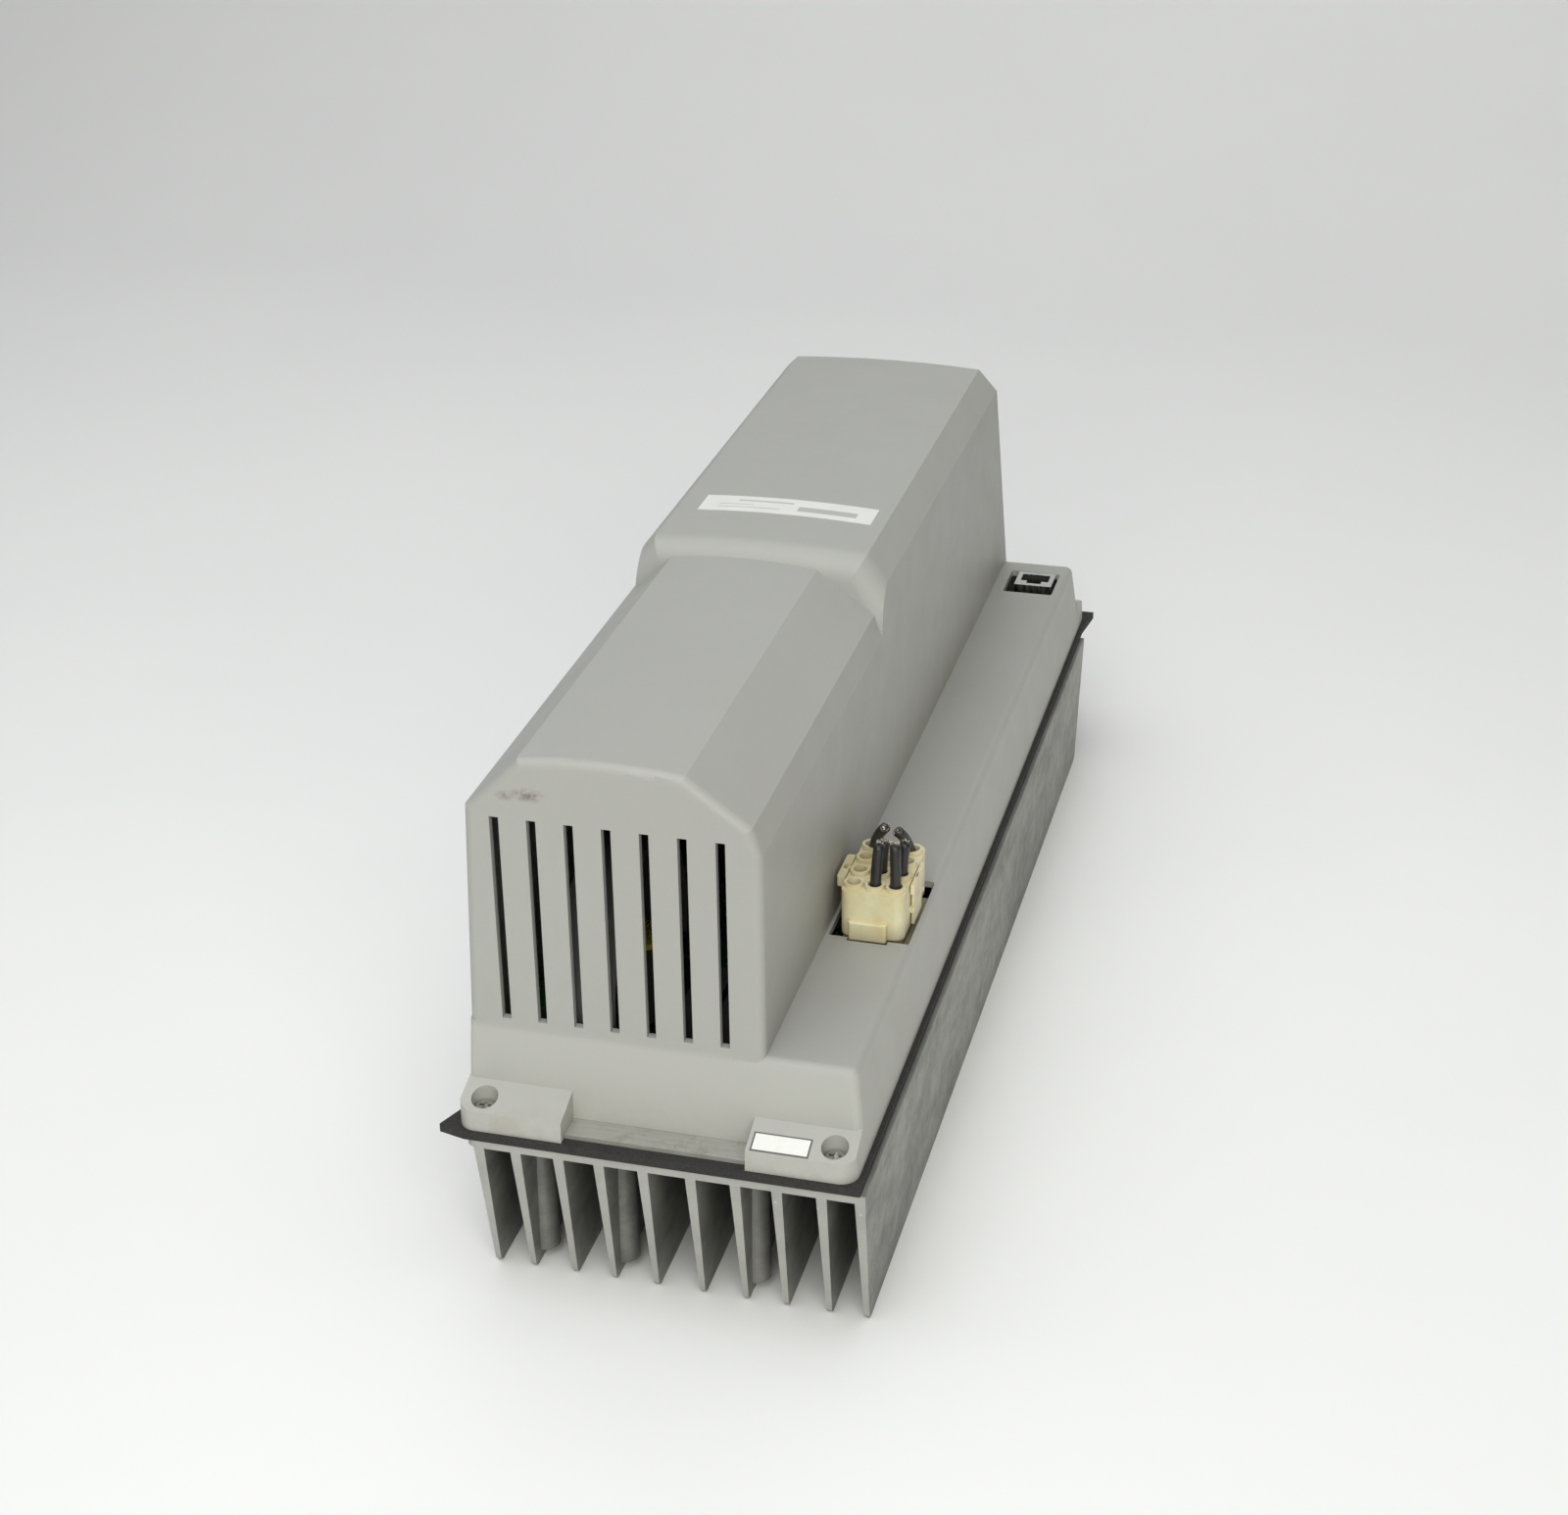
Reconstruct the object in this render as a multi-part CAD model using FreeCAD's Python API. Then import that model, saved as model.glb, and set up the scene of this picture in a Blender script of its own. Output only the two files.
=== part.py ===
import FreeCAD, Part
import math
import os

# Variable frequency drive: a finned cast heat sink carries a chassis plate with the power
# electronics, and a moulded cover with two humps and a connector shelf closes it.
# Millimetres. X is the width, +Y runs along the length to the rear, +Z is up.
# Design frame: X = 0 on the heat sink's middle, Y = 0 on its front face, Z = 0 on the fin tips.
# At export everything moves so that X and Y are 0 at the middle of the footprint.

V = FreeCAD.Vector

# heat sink
PLATE_WIDTH = 131.0
PLATE_LENGTH = 424.0
PLATE_THICKNESS = 3.0
PLATE_CORNER = 4.0
FIN_HEIGHT = 52.2
FIN_ROOT = 3.4
FIN_TIP = 1.8
FIN_LEAN = 9.9
FIN_END_RADIUS = 3.0
FIN_GAPS_TO_MIDDLE = (12.3, 14.3, 13.4, 14.5, 15.6)
PAD_LEFT = 15.5
PAD_RIGHT = 20.5
PAD_FRONT = 58.0
PAD_LENGTH = 232.0

# screw pillars cast onto three of the fins
PILLAR_FINS = (1, 3, 6)
PILLAR_RADIUS = 5.0
PILLAR_OFFSET = 1.0
PILLAR_END_GAP = 4.0
PILLAR_INSET = 19.0
M4_TAP_RADIUS = 1.65
M4_SCREW_RADIUS = 1.55
M4_CLEARANCE_RADIUS = 2.2
PILLAR_TAP_DEPTH = 20.0

# gasket and chassis
GASKET_THICKNESS = 3.0
GASKET_OVERHANG = 1.6
GASKET_FRONT = 0.6
GASKET_RIM = 12.0
CORNER_FLAP = 4.4
CHASSIS_THICKNESS = 1.5
CHASSIS_CLEARANCE = 0.4
COVER_RIM = 2.6
CHASSIS_SETBACK = 3.0
WINDOW_CLEARANCE = 1.5

# cover
COVER_WIDTH = 130.6
COVER_LENGTH = 442.5
COVER_SHIFT = -3.0
COVER_FRONT = 0.5
COVER_WALL = 2.5
SIDE_FLARE = 2.9
WALL_LEAN = 2.24
FOOT_INSET = 12.0
FRONT_FLARE = 2.6
REAR_FLARE = 9.5
SHELF_HEIGHT = 32.1
HUMP_WALL_X = 30.0
FRONT_HUMP_TOP = 126.8
REAR_HUMP_RISE = 4.8
HUMP_STEP = 160.9
CHAMFER_WIDE = 18.0
CHAMFER_RIGHT = 20.4
CHAMFER_SHOULDER = 6.0
REAR_CHAMFER = (7.0, 10.0)
REAR_CHAMFER_LEFT = (4.7, 4.8)
REAR_SHOULDER_LEFT = 9.6
CROWN_RISE = 1.6
REAR_SLOPE = 37.5
STEP_RADIUS = 9.0
HUMP_ROOT = 10.0
EDGE_RADIUS = 3.0
FOOT_EDGE_RADIUS = 1.8

# vent slots in the front wall
SLOT_COUNT = 7
SLOT_PITCH = 11.93
SLOT_WIDTH = 3.0
SLOT_HEIGHT = 72.2
SLOT_ABOVE_SHELF = 2.3
SLOT_MIDDLE_X = -18.4

# corner bosses and captive screws
BOSS_WIDTH = 35.3
BOSS_FACE = 7.0
BOSS_RISE = 4.8
BOSS_DEPTH = 14.0
BOSS_CORNER = 6.0
WELL_RADIUS = 4.35
WELL_INSET_X = 8.0
WELL_INSET_Y = 6.3
WELL_FLOOR = 2.2
RETAINER_RADIUS = 4.0
RETAINER_THICKNESS = 0.8
HEAD_RADIUS = 3.5
HEAD_HEIGHT = 2.2
RUNNING_GAP = 0.1
NUT_RADIUS = 3.5
NUT_SHANK_RADIUS = 2.6
NUT_HEIGHT = 2.4

# main board and its columns
BOARD_THICKNESS = 1.6
BOARD_GAP = 12.7
BOARD_SIDE_GAP = 2.2
BOARD_END_GAP = 7.0
COLUMN_RADIUS = 3.0
COLUMN_INSET = 4.5
REAR_COLUMN_INSET = 30.0
M3_TAP_RADIUS = 1.5
M3_SCREW_RADIUS = 1.4
M3_HEAD_RADIUS = 2.75
M3_HEAD_HEIGHT = 2.0

# power modules on the heat sink pad
THERMAL_PAD = 0.2
MODULE_HEIGHT = 12.5
MODULE_WIDTH = 88.0
RECTIFIER_LENGTH = 46.0
INVERTER_LENGTH = 92.0
MODULE_EAR = 7.0
MODULE_EAR_HEIGHT = 6.0
MODULE_END_GAP = 14.0
MODULE_PIN_RADIUS = 0.6
MODULE_PIN_PITCH = 11.0

# capacitor bank
CAN_RADIUS = 16.0
CAN_HEIGHT = 95.0
CAN_PITCH = 35.5
CAN_ROWS = 3
CAN_GAP_REAR = 112.0
CLAMP_HEIGHT = 72.0
CLAMP_THICKNESS = 1.5
CLAMP_GAP = 0.4
CLAMP_MARGIN = 1.6

# control board, upright beside the right wall of the rear hump
CONTROL_LENGTH = 170.0
CONTROL_HEIGHT = 88.0
CONTROL_WALL_GAP = 7.4
CONTROL_LIFT = 8.0
HEADER_HEIGHT = 11.0
HEADER_WIDTH = 7.0
HEADER_LENGTH = 120.0
SOCKET_GAP = 0.15
CHIP_HEIGHT = 2.4
CONTROL_CHIPS = ((0.22, 0.62, 28.0), (0.5, 0.55, 20.0), (0.72, 0.6, 14.0), (0.86, 0.6, 12.0))

# filter choke and flat cable behind the vent slots
CHOKE_RADIUS = 19.0
CHOKE_BORE = 10.0
CHOKE_HEIGHT = 17.0
CHOKE_FROM_FRONT = 38.0
WINDING_THICKNESS = 2.2
WINDING_ANGLE = 64.0
WINDING_TURN = 62.0
CHOKE_BASE = 3.5
CABLE_THICKNESS = 0.9
CABLE_WIDTH = 20.0
CABLE_SPAN = 76.0
CABLE_RISE = 52.0
CABLE_PLUG_HEIGHT = 7.0
CABLE_PLUG_DEPTH = 6.0

# small parts on the main board
SENSOR_SIZE = (18.0, 14.0, 16.0)
SENSOR_PITCH = 26.0
SENSOR_COUNT = 3
RELAY_SIZE = (29.0, 12.7, 16.0)
FILM_CAP_SIZE = (11.0, 26.0, 19.0)
FILM_CAP_COUNT = 2

# data socket, opening upwards through the shelf
JACK_WIDTH = 16.0
JACK_DEPTH = 14.0
JACK_BELOW_SHELF = -0.4
JACK_SHEET = 0.4
JACK_PORT_WIDTH = 11.9
JACK_PORT_DEPTH = 6.9
JACK_NOTCH_WIDTH = 6.2
JACK_NOTCH_DEPTH = 2.6
JACK_FLOOR = 4.7
JACK_FROM_REAR = 35.5
JACK_X = 46.2
JACK_WINDOW_LEFT = 3.5
JACK_WINDOW_RIGHT = 1.5
JACK_WINDOW_FRONT = 7.6
JACK_WINDOW_BACK = 1.3
CONTACT_COUNT = 8
CONTACT_PITCH = 1.02
CONTACT_RADIUS = 0.23

# power plug and its header
PLUG_COLUMNS = 3
PLUG_ROWS = 4
PLUG_PITCH_X = 7.1
PLUG_PITCH_Y = 8.9
PLUG_BORDER = 3.7
PLUG_END_BORDER = 5.35
PLUG_ABOVE_SHELF = 16.6
COLLAR_RADIUS = 3.35
COLLAR_RISE = 1.5
PLUG_FLANGE_GAP = 0.3
PLUG_STEP = 1.3
PLUG_STEP_FRONT = 3.4
PLUG_FOOT_GAP = 0.8
PLUG_X = 45.45
PLUG_Y = 93.2
PLUG_CORNER = 3.5
CAVITY_RADIUS = 2.35
TERMINAL_HOLE = 1.6
TERMINAL_RADIUS = 1.5
TERMINAL_BORE = 0.9
TERMINAL_LENGTH = 20.0
PIN_RADIUS = 0.8
PIN_LENGTH = 7.5
HEADER_GAP = 0.25
HEADER_WALL = 1.5
HEADER_FLOOR = 2.5
HEADER_BELOW_SHELF = 4.3
KEY_WIDTH = 12.8
KEY_PROUD = 2.4
KEY_OFFSET = 0.9
KEY_HEIGHT = 6.6
PLUG_WINDOW_FRONT = 0.7
PLUG_WINDOW_BACK = 4.9
PLUG_WINDOW_LEFT = 1.1
PLUG_WINDOW_RIGHT = 1.95
PLUG_WALL_RELIEF = 16.0
KEY_NOTCH_GAP = 0.4

# plug latches
LATCH_GAP = 0.4
LATCH_ARM = 0.9
LATCH_WING_LEFT = 3.3
LATCH_WING_RIGHT = 1.75
LATCH_WING_HEIGHT = 3.5
LATCH_LENGTH = 12.0
LATCH_WING_LENGTH = 16.0
LATCH_FROM_FRONT = 17.5
LATCH_PIVOT_HEIGHT = 7.0
LATCH_PIN_RADIUS = 0.4
LATCH_BORE_RADIUS = 0.45
LUG_LENGTH = 1.7
LUG_RADIUS = 0.95
WING_HOLE = (0.5, 3.4)

# cut wire stubs held by the plug: column, row, and how far the tip leans in X, Y and rises
WIRE_RADIUS = 1.9
STRAND_RADIUS = 1.0
STRAND_LENGTH = 1.6
WIRE_BEND_RADIUS = 6.0
WIRE_STUBS = (
    (1, 0, 0.8, 2.5, 12.5),
    (2, 0, -0.8, 2.2, 13.0),
    (1, 1, 0.7, 2.4, 8.5),
    (2, 1, 0.7, 2.0, 9.5),
    (0, 3, 6.0, -7.0, 9.5),
    (2, 3, -4.0, -6.0, 8.0),
)

# labels
LABEL_SIZE = (64.0, 14.4)
LABEL_THICKNESS = 0.15
LABEL_FROM_STEP = 32.0
LABEL_MIDDLE_X = -13.8
STICKER_SIZE = (18.7, 7.2)
STICKER_FROM_INNER = 1.3
STICKER_FROM_FRONT = 0.6

# derived levels
PLATE_BOTTOM = FIN_HEIGHT
PLATE_TOP = PLATE_BOTTOM + PLATE_THICKNESS
GASKET_TOP = PLATE_TOP + GASKET_THICKNESS
CHASSIS_TOP = GASKET_TOP + CHASSIS_THICKNESS
BOARD_BOTTOM = CHASSIS_TOP + BOARD_GAP
BOARD_TOP = BOARD_BOTTOM + BOARD_THICKNESS
SHELF_TOP = GASKET_TOP + SHELF_HEIGHT
HUMP_TOP = GASKET_TOP + FRONT_HUMP_TOP
REAR_TOP = HUMP_TOP + REAR_HUMP_RISE
WELL_BOTTOM = CHASSIS_TOP + RUNNING_GAP + WELL_FLOOR

# derived plan positions
COVER_LEFT = COVER_SHIFT - COVER_WIDTH / 2
COVER_RIGHT = COVER_SHIFT + COVER_WIDTH / 2
COVER_REAR = COVER_FRONT + COVER_LENGTH
FOOT_FRONT = COVER_FRONT + FOOT_INSET
FOOT_REAR = COVER_REAR - FOOT_INSET
FACE_FRONT = FOOT_FRONT + FRONT_FLARE
FACE_REAR = FOOT_REAR - REAR_FLARE
STEP_Y = FACE_FRONT + HUMP_STEP
SHELF_RIGHT = COVER_RIGHT - SIDE_FLARE
CHASSIS_LEFT = COVER_LEFT + COVER_RIM + CHASSIS_CLEARANCE
CHASSIS_RIGHT = COVER_RIGHT - COVER_RIM - CHASSIS_CLEARANCE
CHASSIS_FRONT = COVER_FRONT + CHASSIS_SETBACK
CHASSIS_REAR = COVER_REAR - CHASSIS_SETBACK
BOARD_LEFT = COVER_LEFT + COVER_WALL + BOARD_SIDE_GAP + 1.4
BOARD_RIGHT = COVER_RIGHT - COVER_WALL - BOARD_SIDE_GAP - 1.6
BOARD_FRONT = FACE_FRONT + BOARD_END_GAP
BOARD_REAR = FACE_REAR - BOARD_END_GAP + 2.0
SCREW_SPOTS = [(x, y)
               for y in (COVER_FRONT + WELL_INSET_Y, COVER_REAR - WELL_INSET_Y)
               for x in (COVER_LEFT + WELL_INSET_X, COVER_RIGHT - WELL_INSET_X)]
PILLAR_ROWS = (PILLAR_INSET, PLATE_LENGTH / 2, PLATE_LENGTH - PILLAR_INSET)
PAD_X = (-PLATE_WIDTH / 2 + PAD_LEFT, PLATE_WIDTH / 2 - PAD_RIGHT)
PAD_Y = (PAD_FRONT, PAD_FRONT + PAD_LENGTH)
PLUG_WIDTH = (PLUG_COLUMNS - 1) * PLUG_PITCH_X + 2 * PLUG_BORDER
PLUG_LENGTH = (PLUG_ROWS - 1) * PLUG_PITCH_Y + 2 * PLUG_END_BORDER
PLUG_LEFT = PLUG_X - PLUG_WIDTH / 2
PLUG_RIGHT = PLUG_X + PLUG_WIDTH / 2
PLUG_REAR = PLUG_Y + PLUG_LENGTH
PLUG_TOP = SHELF_TOP + PLUG_ABOVE_SHELF
PLUG_FOOT = BOARD_TOP + HEADER_FLOOR + PLUG_FOOT_GAP
LOWER_X = (PLUG_LEFT + PLUG_STEP, PLUG_RIGHT - PLUG_STEP)
LOWER_Y = (PLUG_Y + PLUG_STEP_FRONT, PLUG_REAR - PLUG_STEP)
JACK_TOP = SHELF_TOP - JACK_BELOW_SHELF
JACK_REAR = FOOT_REAR - JACK_FROM_REAR + JACK_DEPTH
JACK_FRONT = JACK_REAR - JACK_DEPTH


def block(x0, x1, y0, y1, z0, z1):
    return Part.makeBox(x1 - x0, y1 - y0, z1 - z0, V(x0, y0, z0))


def post(x, y, z0, z1, radius):
    return Part.makeCylinder(radius, z1 - z0, V(x, y, z0))


def ring(x, y, z0, z1, outer, inner):
    return post(x, y, z0, z1, outer).cut(post(x, y, z0 - 1, z1 + 1, inner))


def prism(points, direction):
    return Part.Face(Part.makePolygon(points + [points[0]])).extrude(direction)


def prism_x(points, x0, x1):
    return prism([V(x0, y, z) for y, z in points], V(x1 - x0, 0, 0))


def prism_y(points, y0, y1):
    return prism([V(x, y0, z) for x, z in points], V(0, y1 - y0, 0))


def prism_z(points, z0, z1):
    return prism([V(x, y, z0) for x, y in points], V(0, 0, z1 - z0))


def rounded(solid, radius, wanted):
    """Fillet the edges whose middle point passes the test wanted(point, edge)."""
    picked = [e for e in solid.Edges if wanted(e.valueAt((e.FirstParameter + e.LastParameter) / 2), e)]
    return solid.makeFillet(radius, picked)


def upright(edge):
    a, b = edge.Vertexes[0].Point, edge.Vertexes[-1].Point
    return abs(a.x - b.x) + abs(a.y - b.y) < 1e-6 < abs(a.z - b.z)


def rounded_block(x0, x1, y0, y1, z0, z1, radius):
    return rounded(block(x0, x1, y0, y1, z0, z1), radius, lambda p, e: upright(e))


def joined(solids):
    whole = solids[0]
    for solid in solids[1:]:
        whole = whole.fuse(solid)
    return whole.removeSplitter()


def fin_middles():
    """X of each fin's middle plane; the last fin is flush with the plate's right side."""
    gaps = FIN_GAPS_TO_MIDDLE + FIN_GAPS_TO_MIDDLE[-2::-1]
    middles = [PLATE_WIDTH / 2 - FIN_ROOT / 2]
    for gap in gaps:
        middles.insert(0, middles[0] - gap)
    return middles


def fin(x):
    """One tapered fin, leaning in at both ends, with rounded lower corners."""
    root, tip = FIN_ROOT / 2, FIN_TIP / 2
    section = [(x - root, PLATE_BOTTOM), (x - tip, 0.0), (x + tip, 0.0), (x + root, PLATE_BOTTOM)]
    blade = prism_y(section, 0.0, PLATE_LENGTH)
    side = [(0.0, PLATE_BOTTOM), (FIN_LEAN, 0.0), (PLATE_LENGTH - FIN_LEAN, 0.0),
            (PLATE_LENGTH, PLATE_BOTTOM)]
    outline = prism_x(side, x - FIN_ROOT, x + FIN_ROOT)
    outline = rounded(outline, FIN_END_RADIUS,
                      lambda p, e: p.z < 1e-6 and abs(e.Length - FIN_ROOT * 2) < 1e-6)
    return blade.common(outline)


def pillar_spots():
    middles = fin_middles()
    return [(middles[i] + PILLAR_OFFSET, y) for i in PILLAR_FINS for y in PILLAR_ROWS]


def pillar(x, y):
    """Half-round screw pillar on the right flank of a fin, topped by a spacer boss."""
    column = post(x, y, PILLAR_END_GAP, PLATE_BOTTOM + PLATE_THICKNESS / 2, PILLAR_RADIUS)
    flank = x - PILLAR_OFFSET
    column = column.common(block(flank, flank + 2 * PILLAR_RADIUS, y - PILLAR_RADIUS, y + PILLAR_RADIUS,
                                 0.0, PLATE_TOP))
    return column.fuse(post(x, y, PLATE_TOP - PLATE_THICKNESS / 2, GASKET_TOP, PILLAR_RADIUS))


def module_rows():
    """Front and rear Y of the rectifier and of the inverter module."""
    first = PAD_Y[0] + MODULE_END_GAP
    last = PAD_Y[1] - MODULE_END_GAP
    return (first, first + RECTIFIER_LENGTH), (last - INVERTER_LENGTH, last)


def module_x():
    middle = (PAD_X[0] + PAD_X[1]) / 2
    return middle - MODULE_WIDTH / 2, middle + MODULE_WIDTH / 2


def module_screw_spots():
    x0, x1 = module_x()
    spots = []
    for y0, y1 in module_rows():
        spots += [(x, y) for x in (x0 + MODULE_EAR / 2, x1 - MODULE_EAR / 2)
                  for y in (y0 + MODULE_EAR, y1 - MODULE_EAR)]
    return spots


def heat_sink():
    half = PLATE_WIDTH / 2
    plate = block(-half, half, 0.0, PLATE_LENGTH, PLATE_BOTTOM, PLATE_TOP)
    plate = rounded(plate, PLATE_CORNER, lambda p, e: upright(e) and p.x < 0)
    pad = rounded_block(PAD_X[0], PAD_X[1], PAD_Y[0], PAD_Y[1], PLATE_TOP, GASKET_TOP, PLATE_CORNER)
    body = joined([plate, pad] + [fin(x) for x in fin_middles()] + [pillar(*s) for s in pillar_spots()])
    for x, y in pillar_spots():
        body = body.cut(post(x, y, GASKET_TOP - PILLAR_TAP_DEPTH, GASKET_TOP + 1, M4_TAP_RADIUS))
    for x, y in module_screw_spots():
        body = body.cut(post(x, y, PLATE_BOTTOM + RUNNING_GAP, GASKET_TOP + 1, M4_TAP_RADIUS))
    return body


def gasket():
    """Foam ring between heat sink and cover; two of its corners splay outwards."""
    left, right = COVER_LEFT - GASKET_OVERHANG, COVER_RIGHT + GASKET_OVERHANG
    front, rear = -GASKET_FRONT, COVER_REAR + GASKET_OVERHANG * 2
    outline = [(left - CORNER_FLAP, front + CORNER_FLAP / 2), (left + CORNER_FLAP, front), (right, front),
               (right, rear - 4 * CORNER_FLAP), (right + CORNER_FLAP / 2, rear), (left, rear),
               (left, front + 3 * CORNER_FLAP)]
    sheet = prism_z(outline, PLATE_TOP, GASKET_TOP)
    hole = block(COVER_LEFT + GASKET_RIM, COVER_RIGHT - GASKET_RIM, FOOT_FRONT,
                 PLATE_LENGTH - GASKET_RIM / 2, PLATE_TOP - 1, GASKET_TOP + 1)
    sheet = sheet.cut(hole)
    for x, y in SCREW_SPOTS:
        sheet = sheet.cut(post(x, y, PLATE_TOP - 1, GASKET_TOP + 1, NUT_RADIUS + CHASSIS_CLEARANCE))
    return sheet


def chassis():
    """Sheet steel plate that carries the boards, open over the heat sink's pad."""
    sheet = block(CHASSIS_LEFT, CHASSIS_RIGHT, CHASSIS_FRONT, CHASSIS_REAR, GASKET_TOP, CHASSIS_TOP)
    window = block(PAD_X[0] - WINDOW_CLEARANCE, PAD_X[1] + WINDOW_CLEARANCE,
                   PAD_Y[0] - WINDOW_CLEARANCE, PAD_Y[1] + WINDOW_CLEARANCE,
                   GASKET_TOP - 1, CHASSIS_TOP + 1)
    sheet = sheet.cut(window)
    for x, y in SCREW_SPOTS:
        sheet = sheet.cut(post(x, y, GASKET_TOP - 1, CHASSIS_TOP + 1, NUT_SHANK_RADIUS))
    for x, y in chassis_screw_spots():
        sheet = sheet.cut(post(x, y, GASKET_TOP - 1, CHASSIS_TOP + 1, M4_CLEARANCE_RADIUS))
    return sheet


def chassis_screw_spots():
    """The pillars that stand clear of the window over the pad."""
    clear = WINDOW_CLEARANCE + PILLAR_RADIUS
    return [(x, y) for x, y in pillar_spots() if y < PAD_Y[0] - clear or y > PAD_Y[1] + clear]


def pan_screw(x, y, seat, tip, shank, head, height):
    """Pan-head screw with a cross recess; seat is the height its head rests on."""
    body = post(x, y, tip, seat, shank).fuse(post(x, y, seat, seat + height, head))
    body = rounded(body, height * 0.35, lambda p, e: p.z > seat + height - 1e-6)
    arm, width = head * 0.55, head * 0.16
    for dx, dy in ((arm, width), (width, arm)):
        body = body.cut(block(x - dx, x + dx, y - dy, y + dy, seat + height * 0.4, seat + height + 1))
    return body


def chassis_screws():
    tip = GASKET_TOP - PILLAR_TAP_DEPTH / 2
    return [pan_screw(x, y, CHASSIS_TOP, tip, M4_SCREW_RADIUS, HEAD_RADIUS, HEAD_HEIGHT)
            for x, y in chassis_screw_spots()]


def clinch_nuts():
    nuts = []
    for x, y in SCREW_SPOTS:
        nut = post(x, y, GASKET_TOP - NUT_HEIGHT, GASKET_TOP, NUT_RADIUS)
        nut = nut.fuse(post(x, y, GASKET_TOP, CHASSIS_TOP, NUT_SHANK_RADIUS))
        nuts.append(nut.cut(post(x, y, GASKET_TOP - NUT_HEIGHT - 1, CHASSIS_TOP + 1, M4_TAP_RADIUS)))
    return nuts


def left_wall_x(z):
    """The cover's left wall is one sloping plane from foot to shoulder."""
    return COVER_LEFT + (z - GASKET_TOP) * math.tan(math.radians(WALL_LEAN))


def rear_wall_x(z):
    """The rear hump's left wall leans in further, from the shelf's level to its shoulder."""
    foot, shoulder = left_wall_x(SHELF_TOP), COVER_LEFT + REAR_SHOULDER_LEFT
    share = (z - SHELF_TOP) / (REAR_TOP - REAR_CHAMFER_LEFT[1] - SHELF_TOP)
    return foot + (shoulder - foot) * share


def hump_section(rear, y):
    """Outline of a hump across the cover's width, with chamfers and a crowned top."""
    low = SHELF_TOP - HUMP_ROOT
    foot_left = [V(HUMP_WALL_X, y, low), V(left_wall_x(low), y, low)]
    if rear:
        top = REAR_TOP
        shoulder_left = V(COVER_LEFT + REAR_SHOULDER_LEFT, y, top - REAR_CHAMFER_LEFT[1])
        ridge_left = shoulder_left + V(REAR_CHAMFER_LEFT[0], 0, REAR_CHAMFER_LEFT[1])
        ridge_right = V(HUMP_WALL_X - REAR_CHAMFER[0], y, top)
        right = [ridge_right, V(HUMP_WALL_X, y, top - REAR_CHAMFER[1])]
        foot_left.append(V(left_wall_x(SHELF_TOP), y, SHELF_TOP))
    else:
        top = HUMP_TOP
        shoulder_left = V(left_wall_x(top - CHAMFER_WIDE), y, top - CHAMFER_WIDE)
        ridge_left = shoulder_left + V(CHAMFER_WIDE, 0, CHAMFER_WIDE)
        shoulder_x = HUMP_WALL_X - CHAMFER_SHOULDER / 2
        ridge_right = V(shoulder_x - CHAMFER_RIGHT, y, top)
        right = [ridge_right, V(shoulder_x, y, top - CHAMFER_WIDE + CHAMFER_SHOULDER / 2),
                 V(HUMP_WALL_X, y, top - CHAMFER_WIDE - CHAMFER_SHOULDER)]
    crown = V((ridge_left.x + ridge_right.x) / 2, y, top + CROWN_RISE)
    points = right + foot_left + [shoulder_left, ridge_left]
    edges = [Part.LineSegment(a, b).toShape() for a, b in zip(points, points[1:])]
    edges.append(Part.Arc(ridge_left, crown, ridge_right).toShape())
    return Part.Wire(edges)


def base_section(y, foot):
    """Outline of the cover's low base across its width."""
    side = SIDE_FLARE / SHELF_HEIGHT
    points = [V(SHELF_RIGHT, y, SHELF_TOP), V(COVER_RIGHT + (GASKET_TOP - foot) * side, y, foot),
              V(left_wall_x(foot), y, foot), V(left_wall_x(SHELF_TOP), y, SHELF_TOP)]
    return Part.makePolygon(points + points[:1])


def front_cutter(offset, low):
    """Everything ahead of the inclined foot wall and the upright face above it."""
    lean = FRONT_FLARE / SHELF_HEIGHT
    high = REAR_TOP + 20
    outline = [(FOOT_FRONT + offset + (low - GASKET_TOP) * lean, low), (FACE_FRONT + offset, SHELF_TOP),
               (FACE_FRONT + offset, high), (COVER_FRONT - STEP_RADIUS, high),
               (COVER_FRONT - STEP_RADIUS, low)]
    return prism_x(outline, COVER_LEFT - BOSS_DEPTH, COVER_RIGHT + BOSS_DEPTH)


def rear_cutter(offset, low):
    """Everything behind the inclined foot wall and the sloping back of the hump."""
    lean = REAR_FLARE / SHELF_HEIGHT
    slope = REAR_SLOPE / (REAR_TOP - SHELF_TOP)
    high = REAR_TOP + 20
    far = COVER_REAR + BOSS_DEPTH
    outline = [(FOOT_REAR - offset - (low - GASKET_TOP) * lean, low), (FACE_REAR - offset, SHELF_TOP),
               (FACE_REAR - offset - (high - SHELF_TOP) * slope, high), (far, high), (far, low)]
    return prism_x(outline, COVER_LEFT - BOSS_DEPTH, COVER_RIGHT + BOSS_DEPTH)


def extruded(outline, inset, y0, y1):
    """Extrude an outline along Y, shrunk by the wall thickness where the inside is wanted."""
    if inset:
        outline = outline.makeOffset2D(-inset, 2)
    solid = Part.Face(outline).extrude(V(0, y1 - y0, 0))
    return solid


def front_hump(inset):
    y0 = FACE_FRONT + inset
    body = extruded(hump_section(False, y0), inset, y0, STEP_Y + inset + 2 * STEP_RADIUS)
    if inset:
        return body
    return rounded(body, EDGE_RADIUS, lambda p, e: abs(p.y - y0) < 1e-6 and p.z > SHELF_TOP - HUMP_ROOT + 1)


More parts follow.
